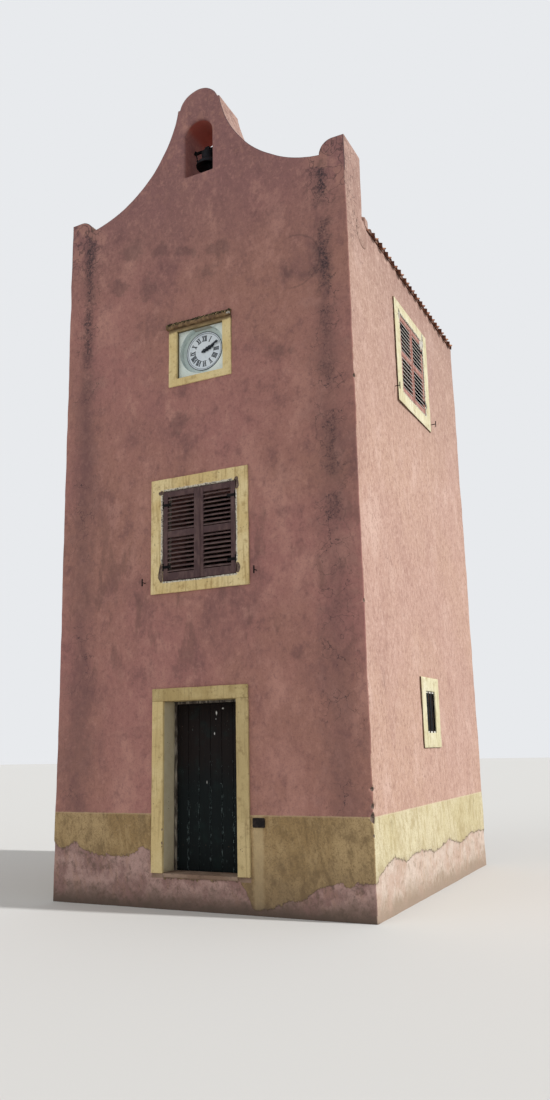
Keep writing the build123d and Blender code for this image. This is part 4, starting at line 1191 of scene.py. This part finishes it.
def slope_place(side, up, off):
    """Puts the middle of a grid on a roof slope: up the slope, and off the tile bed."""
    along = Vector((-side * cos(PITCH), 0, sin(PITCH)))
    out = Vector((side * sin(PITCH), 0, cos(PITCH)))
    across = along.cross(out)
    centre = Vector((side * EAVE_X, (field_front + field_back) / 2, EAVE_Z)) + along * up + out * off
    turn = Matrix((across, along, out)).transposed().to_4x4()
    return Matrix.Translation(centre) @ turn

JITTER = (0.006, 0.008, 0.002)
TILT = radians(2.2)
field_middle = (COURSES - 1) * course_step / 2
stopping = ball()
for vert in stopping.verts:
    vert.co = Vector((vert.co.x * 0.066, vert.co.y * 0.035, max(0, vert.co.z) * 0.046))
stopping_mesh = mesh_of("stopping", stopping)
for side, name in ((1, "roof_tiles_right"), (-1, "roof_tiles_left")):
    covers = laid_in_rows(
        cover, (ROWS, COURSES), (row_step, course_step),
        slope_place(side, field_middle + COVER_BACK, 0.018), roof_clay,
        shift=JITTER, turn=(radians(1.0), radians(2), radians(1.6)), lean=(-TILT, 0, 0), seed=11,
    )
    channels = laid_in_rows(
        channel, (ROWS - 1, COURSES), (row_step, course_step),
        slope_place(side, field_middle, 0.052), roof_clay,
        shift=JITTER, turn=(radians(0.8), radians(1), radians(1.2)), lean=(-TILT, 0, 0), seed=23,
    )
    stops = laid_in_rows(
        stopping_mesh, (ROWS, 1), (row_step, 0), slope_place(side, COVER_BACK + 0.03, 0.010), broken_plaster,
        shift=(0.003, 0.01, 0), seed=31,
    )
    laid = joined_mesh(name, (covers, channels, stops))
    # faces that look down get the darker clay: painted shade
    refinish(laid, painted_shade_clay, lambda face: face.normal.z < -0.15)
    dressed(name + "_laid", laid, "tower", (name,))
ridge_low, ridge_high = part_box("ridge_tiles")
RIDGE_COURSES = 12
ridge_step = (ridge_high.y - ridge_low.y - TILE_LENGTH) / (RIDGE_COURSES - 1)
ridge_place = Matrix.Translation((0, (ridge_low.y + ridge_high.y - TILE_LENGTH) / 2, ridge_low.z + 0.004))
ridge_tile = barrel_tile("ridge_tile", 0.094, 0.080, radians(88), opens_up=False)
ridge = laid_in_rows(
    ridge_tile, (1, RIDGE_COURSES), (0, ridge_step), ridge_place, roof_clay,
    shift=(0.004, 0.006, 0), turn=(0, radians(1.5), radians(1.2)), lean=(-radians(1.6), 0, 0), seed=5,
)
bedding = bmesh.new()
bmesh.ops.create_cube(bedding, size=1.0)
ridge_middle, bed_long = (ridge_low.y + ridge_high.y) / 2, ridge_high.y - ridge_low.y - 0.01
for vert in bedding.verts:
    z = ridge_low.z + (0.018 if vert.co.z > 0 else -0.12)
    vert.co = Vector((vert.co.x * 0.17, ridge_middle + vert.co.y * bed_long, z))
cut_into_cells(bedding, (0.03, 0.05, 0.03))
for vert in bedding.verts:
    vert.co += wander(vert.co.copy(), ((0.09, 0.005), (0.03, 0.002)))
ridge = joined_mesh("ridge_tiles_laid", (ridge, mesh_of("bedding", bedding, side_plaster)))
dressed("ridge_tiles_laid", ridge, "tower", ("ridge_tiles",))
print("tiles:", 2 * COURSES * (2 * ROWS - 1) + RIDGE_COURSES, "laid, course step", round(course_step, 3))

# %% [markdown]
# ## Stones
# The surrounds of door, windows and clock are smooth bands of painted stone. They are copied from
# the frame as the walls were, with a rubbed edge all round and a slightly uneven surface. Where a
# shutter closes against a surround its edge is ragged, and broken away at the hinges.

# %% Stones
STONE_CELL = (0.045, 0.045, 0.045)
FINE_CELL = (0.03, 0.03, 0.03)
STONE_LUMPS = ((0.30, 0.0025), (0.07, 0.0016), (0.025, 0.0010))
RAGGED_LUMPS = ((0.06, 0.006), (0.025, 0.004))
STONE_EDGE = 0.007
LIP_REACH = 0.045
BREAK_ACROSS = 0.55
BREAK_HALF = 0.042
BREAK_DEPTH = 0.022
PAINTED_SHADE_REACH = 0.03
BEHIND_LEAF = 2.15

def worn_stone(
    node, material, cell=STONE_CELL, lumps=STONE_LUMPS, edge=STONE_EDGE, opening=None,
):
    """A node's own shape with rubbed edges and an uneven face; opening is (axis, half width, foot, top)."""
    shell = joined_nodes((node,))
    rounded(shell, [each for each in shell.edges if is_sharp(each)], edge)
    cut_into_cells(shell, cell)
    mark = shell.verts.layers.float.new("lip")
    for vert in shell.verts:
        rest = vert.co.copy()
        vert.co += wander(rest, lumps)
        if opening:
            axis, half, foot, top = opening
            away = max(abs(rest[axis]) - half, foot - rest.z, rest.z - top, 0.0)
            vert[mark] = max(0.0, 1 - away / LIP_REACH)
            vert.co += wander(rest, RAGGED_LUMPS) * vert[mark]
    return piece(node + "_worn", shell, material, "tower", (node,))

def hinge_breaks(node, face_axis, corners):
    """Places where the stone is broken at the corners of a window, as (centre, size)."""
    face = max([corner[face_axis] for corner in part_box(node)], key=abs)
    made = []
    for side, height, size in corners:
        centre, reach = [side * BREAK_ACROSS, side * BREAK_ACROSS, height], [BREAK_HALF, BREAK_HALF, size]
        centre[face_axis], reach[face_axis] = face, BREAK_DEPTH
        made.append((centre, reach))
    return made

def painted_shade_on_edges(thing):
    """Painted shade on the outer edges of a side window's stones that look to the front and down."""
    low = Vector(thing.bound_box[0])
    refinish(thing.data, painted_edge_shade, lambda face: (
        (face.normal.y < -0.6 and face.center.y < low.y + PAINTED_SHADE_REACH)
        or (face.normal.z < -0.6 and face.center.z < low.z + PAINTED_SHADE_REACH)
    ))

OPENING_HALF = 0.535
OPENING_SLACK = 0.008
for wall, face_axis in (("front", 1), ("rear", 1), ("right", 0), ("left", 0)):
    node = f"{wall}_window_surround"
    shutter_low, shutter_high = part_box(f"{wall}_shutter_left")
    foot, top = shutter_low.z - OPENING_SLACK, shutter_high.z + OPENING_SLACK
    finish, inside = (trim_stone, broken_plaster) if face_axis else (sunny_stone, broken_stone)
    stone = worn_stone(node, finish, cell=FINE_CELL, opening=(1 - face_axis, OPENING_HALF, foot, top))
    corners = (
        (1, top - 0.04, 0.080), (1, foot + 0.07, 0.065), (-1, foot + 0.11, 0.12), (-1, top - 0.02, 0.030),
    )
    if not face_axis:
        corners = ((-1, top - 0.02, 0.08), (1, top + 0.02, 0.13), (1, foot + 0.16, 0.05))
    chip(stone, hinge_breaks(node, face_axis, corners), inside)
    if not face_axis:
        painted_shade_on_edges(stone)
        # the stone's faces inside the wall, behind the leaves, are near black: painted shade
        refinish(stone.data, painted_shade_dark, lambda face: abs(face.center.x) < BEHIND_LEAF)
for node in ("right_small_window_surround", "left_small_window_surround"):
    painted_shade_on_edges(worn_stone(node, sunny_stone))
print("window stones: 4 surrounds with broken edges, 2 small ones")

# %% Stones of the door and the clock
JAMB_FACE_Y = -2.428
JAMB_CHIPS = ((0.95, 0.007), (0.89, 0.012), (0.80, 0.006), (0.74, 0.014), (0.70, 0.009))
HOOD_LUMPS = ((0.09, 0.006), (0.035, 0.006), (0.016, 0.003))
FLASHING_CELL = (0.06, 0.02, 0.03)
FLASHING_LUMPS = ((0.20, 0.008), (0.07, 0.005))
worn_stone("clock_surround", clock_stone)
worn_stone("door_jamb_right", shaded_jamb_stone)
left_jamb = worn_stone("door_jamb_left", jamb_stone)
jamb_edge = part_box("door_jamb_left")[1].x
chip(left_jamb, [((jamb_edge, JAMB_FACE_Y, z), (size, size, size * 1.6)) for z, size in JAMB_CHIPS])
worn_stone("door_lintel", lintel_stone)
hood = worn_stone("clock_hood", hood_moss, cell=(0.016, 0.016, 0.016), lumps=HOOD_LUMPS)
worn_stone("roof_flashing", side_plaster, cell=FLASHING_CELL, lumps=FLASHING_LUMPS, edge=0.022)
hood_low, hood_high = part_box("clock_hood")
hood_end = (hood_high.x - 0.004, hood_low.y + 0.002, hood_low.z + 0.020)
chip(hood, [(hood_end, (0.045, 0.022, 0.016))], broken_stone)
print("stones: clock, jambs, lintel, hood and flashing")

# %% Moss on the hood
hood_top = ((hood_low.x + hood_high.x) / 2, hood_low.y + 0.034, hood_high.z - 0.030)
hood_slope = Matrix.Translation(hood_top) @ Matrix.Rotation(radians(42), 4, "X")
growth = []
for size, finish, counts, steps, seed in (
    (0.014, moss, (40, 4), (0.0245, 0.016), 17), (0.011, lichen, (26, 3), (0.037, 0.021), 29),
):
    clump = ball()
    for vert in clump.verts:
        vert.co = vert.co * size * (1 + 0.4 * noise.noise(vert.co * 2.1 + Vector((seed, 0, 0))))
    growth.append(laid_in_rows(
        mesh_of("clump", clump), counts, steps, hood_slope, finish, shift=(0.014, 0.012, 0.009),
        turn=(3, 3, 3), seed=seed,
    ))
dressed("hood_moss_clumps", joined_mesh("hood_moss_clumps", growth), "tower")
print("moss: two sizes of clump")

# %% [markdown]
# ## Shutters
# A leaf is a frame of two stiles and three rails, with eight louvres in each bay that slope
# outwards and down. The frame members are bevelled boards. The louvres of one bay are one slat
# laid in a row of eight by the rows tree, standing in the plane of the wall. A strip covers the
# joint between the leaves, and each leaf hangs on two iron straps. On the sides the members are
# slimmer, and lumps of crumbled mortar stick to the upper corners.

# %% Shutters
def board(shell, low, high, edge=0.003):
    """Adds one bevelled board between two corners."""
    low, high = Vector(map(min, low, high)), Vector(map(max, low, high))
    made = bmesh.ops.create_cube(shell, size=1.0)
    for vert in made["verts"]:
        vert.co = Vector([(low[k] + high[k]) / 2 + vert.co[k] * (high[k] - low[k]) for k in range(3)])
    rounded(shell, list({each for vert in made["verts"] for each in vert.link_edges}), edge)

def rod(shell, start, end, radius, segments=12):
    """Adds a round rod between two points."""
    start, end = Vector(start), Vector(end)
    turn = (end - start).to_track_quat("Z", "Y").to_matrix().to_4x4()
    bmesh.ops.create_cone(
        shell, cap_ends=True, segments=segments, radius1=radius, radius2=radius, depth=(end - start).length,
        matrix=Matrix.Translation((start + end) / 2) @ turn,
    )

def wall_place(quarter):
    """From a drawing of the front, with y into the wall from its face, to one of the four walls."""
    reach = wall_high.x if quarter % 2 else wall_high.y
    return Matrix.Rotation(radians(90 * quarter), 4, "Z") @ Matrix.Translation((0, -reach, 0))

SHUTTER_OUT = 0.012
SHUTTER_BACK = 0.026
SLATS = 8
FRONT_FORM = {"stile": 0.066, "top": 0.076, "middle": 0.084, "bottom": 0.100, "slat": 0.0065}
SIDE_FORM = {"stile": 0.046, "top": 0.054, "middle": 0.060, "bottom": 0.074, "slat": 0.0075}
SLAT_DEEP = 0.046
SLAT_TILT = radians(40)
HINGE_RADIUS = 0.009
HINGE_HIGH = 0.095
HINGE_INSET = 0.13
LEAF_STRAP_LONG = 0.115
SHUTTER_GAP = 0.008

def louvres(left, right, foot, top, thick, paint_finish):
    """The slats of one bay, on the drawing of the front."""
    half = (right - left) / 2 + 0.004
    slat = bmesh.new()
    board(slat, (-half, -SLAT_DEEP / 2, -thick / 2), (half, SLAT_DEEP / 2, thick / 2), 0.002)
    slat_mesh = mesh_of("slat", slat)
    lie_down = Matrix.Rotation(radians(-90), 4, "X")
    slat_mesh.transform(lie_down @ Matrix.Rotation(SLAT_TILT, 4, "X"))
    middle = Vector(((left + right) / 2, (SHUTTER_BACK - SHUTTER_OUT) / 2, (foot + top) / 2))
    stand = Matrix.Translation(middle) @ lie_down.inverted()
    laid = laid_in_rows(
        slat_mesh, (1, SLATS), (0, (top - foot) / SLATS), stand, paint_finish,
        shift=(0, 0.0012, 0.0008), turn=(radians(1.5), 0, radians(0.15)), seed=3,
    )
    # slat faces that look into the wall, their undersides and back edges, are near black: painted shade
    refinish(laid, painted_shade_dark, lambda face: face.normal.y > 0.2)
    return laid

def shutter_leaf(node, side, low_z, high_z, quarter, form, finish, slat_finish):
    """One louvred leaf, closed; form holds the widths of its members."""
    left, right = sorted((side * 0.002, side * (OPENING_HALF - SHUTTER_GAP)))
    front, back = -SHUTTER_OUT, SHUTTER_BACK
    middle = (low_z + high_z) / 2 + 0.015
    half_rail = form["middle"] / 2
    rails = (
        (low_z, low_z + form["bottom"]), (middle - half_rail, middle + half_rail),
        (high_z - form["top"], high_z),
    )
    bay = (left + form["stile"], right - form["stile"])
    shell = bmesh.new()
    board(shell, (left, front, low_z), (bay[0], back, high_z))
    board(shell, (bay[1], front, low_z), (right, back, high_z))
    for foot, top in rails:
        board(shell, (bay[0], front + 0.0015, foot), (bay[1], back - 0.0015, top))
    if side > 0:
        strip_foot = (left - 0.012, front - 0.007, low_z + 0.004)
        board(shell, strip_foot, (left + 0.020, front + 0.001, high_z - 0.004), 0.002)
    iron = bmesh.new()
    hung = side * (OPENING_HALF - SHUTTER_GAP - 0.002)
    for height in (low_z + HINGE_INSET, high_z - HINGE_INSET - HINGE_HIGH):
        rod(iron, (hung, front, height), (hung, front, height + HINGE_HIGH), HINGE_RADIUS)
        strap_end = (hung - side * LEAF_STRAP_LONG, front, height + 0.064)
        board(iron, (hung, front - 0.003, height + 0.028), strap_end, 0.001)
    meshes = [mesh_of("leaf", shell, finish), mesh_of("iron", iron, hanging_iron)]
    for bay_foot, bay_top in ((rails[0][1], rails[1][0]), (rails[1][1], rails[2][0])):
        meshes.append(louvres(*bay, bay_foot, bay_top, form["slat"], slat_finish))
    mesh = joined_mesh(node + "_louvred", meshes)
    mesh.transform(wall_place(quarter))
    return dressed(node + "_louvred", mesh, "tower", (node,))

for quarter, wall in enumerate(("front", "right", "rear", "left")):
    finishes = (FRONT_FORM, front_shutter_paint, front_slat_paint)
    if quarter % 2:
        finishes = (SIDE_FORM, side_shutter_paint, side_slat_paint)
    for side, leaf in ((-1, "left"), (1, "right")):
        low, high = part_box(f"{wall}_shutter_{leaf}")
        shutter_leaf(f"{wall}_shutter_{leaf}", side, low.z, high.z, quarter, *finishes)

# Crumbled mortar by the upper corners of a side window: place across, height over the leaf, reach
CRUMBLED = ((0.478, -0.052, (0.046, 0.009, 0.085)), (-0.520, -0.020, (0.028, 0.009, 0.060)))
CRUMBLED_OUT = 0.011
for wall, quarter, mirror in (("right", 1, 1), ("left", 3, -1)):
    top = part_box(f"{wall}_shutter_left")[1].z
    heaps = []
    for i, (across, up, reach) in enumerate(CRUMBLED):
        heap = rough_lump((mirror * across, -CRUMBLED_OUT, top + up), reach, 5 + i, broken_stone)
        heaps.append(heap.data.copy())
        bpy.data.objects.remove(heap)
    crumbs = joined_mesh(f"{wall}_window_crumbled_mortar", heaps)
    crumbs.transform(wall_place(quarter))
    dressed(f"{wall}_window_crumbled_mortar", crumbs, "tower")
print("shutters: 8 leaves,", 2 * SLATS, "louvres each")

# %% [markdown]
# ## Door leaves
# Each leaf is three upright boards with open joints, held behind by three ledges and two iron
# straps that turn on the frame's pins. The boards stand a hair in front of or behind each other.

# %% Door leaves
BOARD_GAP = 0.004
BOARD_STEPS = (0.0, 0.0016, 0.0006)
LEAF_THICK = 0.040
LEDGE_THICK = 0.025
LEDGE_HIGH = 0.12
STRAP_THICK = 0.006
STRAP_HIGH = 0.070
STRAP_LONG = 0.330
KNUCKLE_RADIUS = 0.012
PIN_HOLE = 0.0075
NAIL_RADIUS = 0.006
STRAP_FEET = (0.66, 2.06)
LEDGE_SPAN = (0.0325, 0.460)

def circle(radius, steps):
    """Points round a circle, as (cosine, sine) times the radius."""
    return [(radius * cos(2 * pi * i / steps), radius * sin(2 * pi * i / steps)) for i in range(steps)]

def skin_rings(shell, rings):
    """Skins rings of points that follow each other round a closed section."""
    for ring, after in zip(rings, rings[1:] + rings[:1]):
        for i in range(len(ring)):
            j = (i + 1) % len(ring)
            corners = list(dict.fromkeys((ring[i], ring[j], after[j], after[i])))
            if len(corners) > 2:
                shell.faces.new(corners)

def knuckle(shell, x, y, foot, top):
    """A barrel with a hole down its middle."""
    section = ((KNUCKLE_RADIUS, foot), (KNUCKLE_RADIUS, top), (PIN_HOLE, top), (PIN_HOLE, foot))
    skin_rings(shell, [
        [shell.verts.new((x + across, y + along, z)) for across, along in circle(radius, 20)]
        for radius, z in section
    ])

nail = ball()
for vert in nail.verts:
    vert.co = Vector((vert.co.x, vert.co.y, vert.co.z * 0.45)) * NAIL_RADIUS
nail_mesh = mesh_of("nail", nail)
for side, leaf in ((-1, "left"), (1, "right")):
    node = f"door_leaf_{leaf}"
    low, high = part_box(node)
    front, back = low.y, low.y + LEAF_THICK
    behind = back + LEDGE_THICK
    shell, iron = bmesh.new(), bmesh.new()
    for i in range(BOARDS):
        near = LEAF_INNER + i * BOARD_W + (BOARD_GAP / 2 if i else 0)
        far = LEAF_INNER + (i + 1) * BOARD_W - (BOARD_GAP / 2 if i < BOARDS - 1 else 0)
        board(shell, (side * near, front + BOARD_STEPS[i], low.z), (side * far, back, high.z))
    for level in (STRAP_FEET[0] + STRAP_HIGH / 2, (low.z + high.z) / 2, STRAP_FEET[1] + STRAP_HIGH / 2):
        ledge_foot = (side * LEDGE_SPAN[0], back - 0.001, level - LEDGE_HIGH / 2)
        board(shell, ledge_foot, (side * LEDGE_SPAN[1], behind, level + LEDGE_HIGH / 2))
    for height in STRAP_FEET:
        strap_end = (side * (LEAF_OUTER - STRAP_LONG), behind + STRAP_THICK, height + STRAP_HIGH)
        board(iron, (side * (LEAF_OUTER - 0.011), behind, height), strap_end, 0.001)
        knuckle(iron, side * LEAF_OUTER, behind + KNUCKLE_RADIUS, height, height + STRAP_HIGH)
    bmesh.ops.recalc_face_normals(iron, faces=iron.faces)
    nail_middle = (side * (LEAF_INNER + LEAF_OUTER) / 2, front + 0.0005, (sum(STRAP_FEET) + STRAP_HIGH) / 2)
    nails = laid_in_rows(
        nail_mesh, (BOARDS, 2), (BOARD_W, STRAP_FEET[1] - STRAP_FEET[0]),
        Matrix.Translation(nail_middle) @ Matrix.Rotation(radians(90), 4, "X"),
        dark_iron, shift=(0.012, 0.01, 0), seed=9,
    )
    meshes = (mesh_of("boards", shell, door_paint), mesh_of("iron", iron, dark_iron), nails)
    dressed(node + "_boards", joined_mesh(node + "_boards", meshes), f"door_{leaf}", (node,))
print("door leaves: 2,", BOARDS, "boards each")

# %% [markdown]
# ## Clock
# The dial is a pale disc with a raised dark rim and a thin ring inside it. Its twelve numerals are the
# plain Roman ones that any tower clock has, each standing with its foot towards the middle. They
# are made of strokes: a numeral is a row of letters, and a letter is one, two or crossing bars.
# The hands are cut from sheet, with swellings along the blade.

# %% Clock rings and numerals
dial_low, dial_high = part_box("clock_dial")
CLOCK_X = (dial_low.x + dial_high.x) / 2
DIAL_R = 0.268
CLOCK_Z = 6.947
DIAL_FACE_Y = -2.28
INK = 0.0016
NUMERAL_FOOT = 0.140
NUMERAL_HIGH = 0.074
THICK_STROKE = 0.0125
THIN_STROKE = 0.0065
LETTER_GAP = 0.0045
SERIF = 0.004
SERIF_STROKE = 0.005
NUMERALS = ("XII", "I", "II", "III", "IIII", "V", "VI", "VII", "VIII", "IX", "X", "XI")
LETTER_WIDE = {"I": 0.0125, "V": 0.034, "X": 0.034}

def on_dial(x, y, out, turn):
    """A place in space from one on the dial's drawing, turned about its middle and lifted off its face."""
    return CLOCK_X + x * cos(turn) + y * sin(turn), DIAL_FACE_Y - out, CLOCK_Z + y * cos(turn) - x * sin(turn)

def plate(shell, outline, lifts, turn):
    """A flat plate on the dial, from its outline and the lifts of its back and its front."""
    back, front = [[shell.verts.new(on_dial(x, y, lift, turn)) for x, y in outline] for lift in lifts]
    shell.faces.new(back)
    shell.faces.new(front[::-1])
    for i in range(len(back)):
        j = (i + 1) % len(back)
        shell.faces.new((back[i], back[j], front[j], front[i]))

def stroke(shell, start, end, wide, turn):
    """A bar from one point to another of the dial's face, turned about the middle of the dial."""
    start, end = Vector(start), Vector(end)
    aside = Vector((end.y - start.y, start.x - end.x)).normalized() * wide / 2
    plate(shell, (start - aside, start + aside, end + aside, end - aside), (0.0, INK), turn)

def numeral(shell, text, turn):
    """One Roman numeral on the ring."""
    wide = sum(LETTER_WIDE[letter] for letter in text) + LETTER_GAP * (len(text) - 1)
    x = -wide / 2
    foot, top = NUMERAL_FOOT, NUMERAL_FOOT + NUMERAL_HIGH
    for letter in text:
        span = LETTER_WIDE[letter]
        if letter == "I":
            stroke(shell, (x + span / 2, foot), (x + span / 2, top), THICK_STROKE, turn)
        elif letter == "V":
            stroke(shell, (x + THICK_STROKE / 2, top), (x + span / 2, foot), THICK_STROKE, turn)
            stroke(shell, (x + span, top), (x + span / 2, foot), THIN_STROKE, turn)
        else:
            inset = THICK_STROKE / 2
            stroke(shell, (x + inset, top), (x + span - inset, foot), THICK_STROKE, turn)
            stroke(shell, (x + span, top), (x, foot), THIN_STROKE, turn)
        x += span + LETTER_GAP
    for height in (foot, top):
        stroke(shell, (-wide / 2 - SERIF, height), (wide / 2 + SERIF, height), SERIF_STROKE, turn)

def ring(shell, radius, wide, lift, steps=96):
    """A flat ring standing a little proud of the dial."""
    section = ((radius, 0.0), (radius + wide, 0.0), (radius + wide, lift), (radius, lift))
    skin_rings(shell, [
        [shell.verts.new(on_dial(x, z, out, 0)) for z, x in circle(reach, steps)] for reach, out in section
    ])

# Each ring as (inner radius, width, lift); the second covers the raised rim
RINGS = ((0.2455, 0.0040, INK), (DIAL_R - 0.0048, 0.0076, 0.0066))
marks = bmesh.new()
for hour, text in enumerate(NUMERALS):
    numeral(marks, text, radians(30 * hour))
for radius, wide, lift in RINGS:
    ring(marks, radius, wide, lift)
bmesh.ops.recalc_face_normals(marks, faces=marks.faces)
dressed("dial_numerals", mesh_of("dial_numerals", marks, dial_ink), "tower")
print("dial:", len(NUMERALS), "numerals,", len(RINGS), "rings")

# %% Clock hands
HAND_THICK = 0.005
HAND_TAIL = 0.040
HUB_STEPS = 28
HUB_PROUD = 0.0006
BLADE_STEPS = 72
TAIL_STEPS = 8
DIAL_THICK = 0.025

# For each hand: gap to the dial, angle, radius of the hub, radius and hole of its tube, then the blade
# as (distance from the middle, half width)
HANDS = {
    "hour_hand": (0.008, 69, 0.027, 0.012, 0.0065, (
        (0.000, 0.028), (0.024, 0.021), (0.046, 0.033), (0.068, 0.021), (0.090, 0.032), (0.110, 0.019),
        (0.130, 0.026), (0.148, 0.011), (0.165, 0.004),
    )),
    "minute_hand": (0.019, 66, 0.018, 0.006, 0.0, (
        (0.000, 0.011), (0.045, 0.009), (0.080, 0.015), (0.112, 0.008), (0.142, 0.011), (0.160, 0.006),
        (0.180, 0.007), (0.192, 0.014), (0.204, 0.010), (0.216, 0.014), (0.232, 0.012),
    )),
}

def swelling(form, along):
    """Half width of a blade at a distance from the middle, eased between the points of its form."""
    for (start, wide), (end, after) in zip(form, form[1:]):
        if along <= end:
            part = (along - start) / (end - start)
            return wide + (after - wide) * (0.5 - 0.5 * cos(pi * part))
    return form[-1][1]

def hand_mesh(name, gap, angle, hub, tube, hole, form):
    """A hand cut from sheet, with its hub and the tube or pin that it turns on."""
    length, turn, top = form[-1][0], radians(angle), gap + HAND_THICK
    tail = [
        (0.007 + 0.006 * sin(pi * i / TAIL_STEPS) ** 2, -HAND_TAIL * i / TAIL_STEPS)
        for i in range(TAIL_STEPS, 0, -1)
    ]
    places = [length * i / BLADE_STEPS for i in range(BLADE_STEPS + 1)]
    half = tail + [(swelling(form, along), along) for along in places]
    shell = bmesh.new()
    plate(shell, half + [(-x, y) for x, y in reversed(half)], (gap, top), turn)
    bmesh.ops.triangulate(shell, faces=[face for face in shell.faces if len(face.verts) > 4])
    rings = []
    for radius, out in (
        (tube, -DIAL_THICK), (tube, gap), (hub, gap - HUB_PROUD), (hub, top + HUB_PROUD),
        (hole, top + HUB_PROUD), (hole, -DIAL_THICK),
    ):
        if radius > 0:
            rings.append([shell.verts.new(on_dial(x, y, out, turn)) for x, y in circle(radius, HUB_STEPS)])
        else:
            rings.append([shell.verts.new(on_dial(0, 0, out, turn))] * HUB_STEPS)
    skin_rings(shell, rings)
    bmesh.ops.recalc_face_normals(shell, faces=shell.faces)
    return mesh_of(name, shell, dial_ink)

for node, form in HANDS.items():
    dressed(node + "_cut", hand_mesh(node, *form), node, (node,))
print("hands:", len(HANDS))

# %% [markdown]
# ## Everything else keeps its shape
# The other pieces from the frame are right as they are: floors, beams, bars, the door frame, the
# hanging iron. They only need a finish. A Weld joins their loose triangles and a Bevel takes the
# knife edge off, without touching the mesh itself.

# %% Finishes on the frame's own pieces
def finish_node(node, material, edge=0.002):
    """Puts a material on a node, with its arrises eased."""
    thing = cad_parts[node]
    thing.data.materials.clear()
    thing.data.materials.append(material)
    thing.modifiers.new("weld", "WELD").merge_threshold = 0.00002
    if edge:
        easing = thing.modifiers.new("eased_edges", "BEVEL")
        easing.width = edge
        easing.segments = 2
        easing.limit_method = "ANGLE"
        easing.angle_limit = radians(35)

KEPT = {
    "ground_floor": (step_stone, 0), "first_floor": (floor_wood, 0), "second_floor": (floor_wood, 0),
    "door_frame": (frame_wood, 0.002), "ridge_beam": (floor_wood, 0.004),
    "roof_deck_right": (floor_wood, 0), "roof_deck_left": (floor_wood, 0),
    "small_window_glass": (window_glass, 0), "small_window_bars": (dark_iron, 0),
    "clock_board": (clock_board_paint, 0.002), "clock_dial": (dial_paint, 0.001), "bell": (bell_metal, 0),
    "bell_crossbar": (hanging_iron, 0.002), "small_window_casements": (casement_paint, 0.001),
    "bell_hammer": (hanging_iron, 0), "wall_plate": (plate_iron, 0.003),
    "shutter_dogs": (hanging_iron, 0.001),
}
for node, (material, edge) in KEPT.items():
    finish_node(node, material, edge)

def from_dial(face):
    """How far a face lies from the middle of the dial."""
    return Vector((face.center.x - CLOCK_X, face.center.z - CLOCK_Z)).length

pane_low, pane_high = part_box("small_window_glass")
for node, material, chosen in (
    ("clock_board", recess_paint, lambda face: face.normal.y > -0.9),
    ("clock_dial", recess_paint, lambda face: from_dial(face) > DIAL_R + 0.002),
    # the casements' faces at the height of the pane are near black: painted shade
    ("small_window_casements", painted_shade_dark, lambda face: pane_low.z < face.center.z < pane_high.z),
):
    refinish(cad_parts[node].data, material, chosen)
print("kept nodes:", len(KEPT))

# %% Sizes and end
low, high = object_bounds()
print("visual box:", [round(v, 3) for v in (*low, *high)])
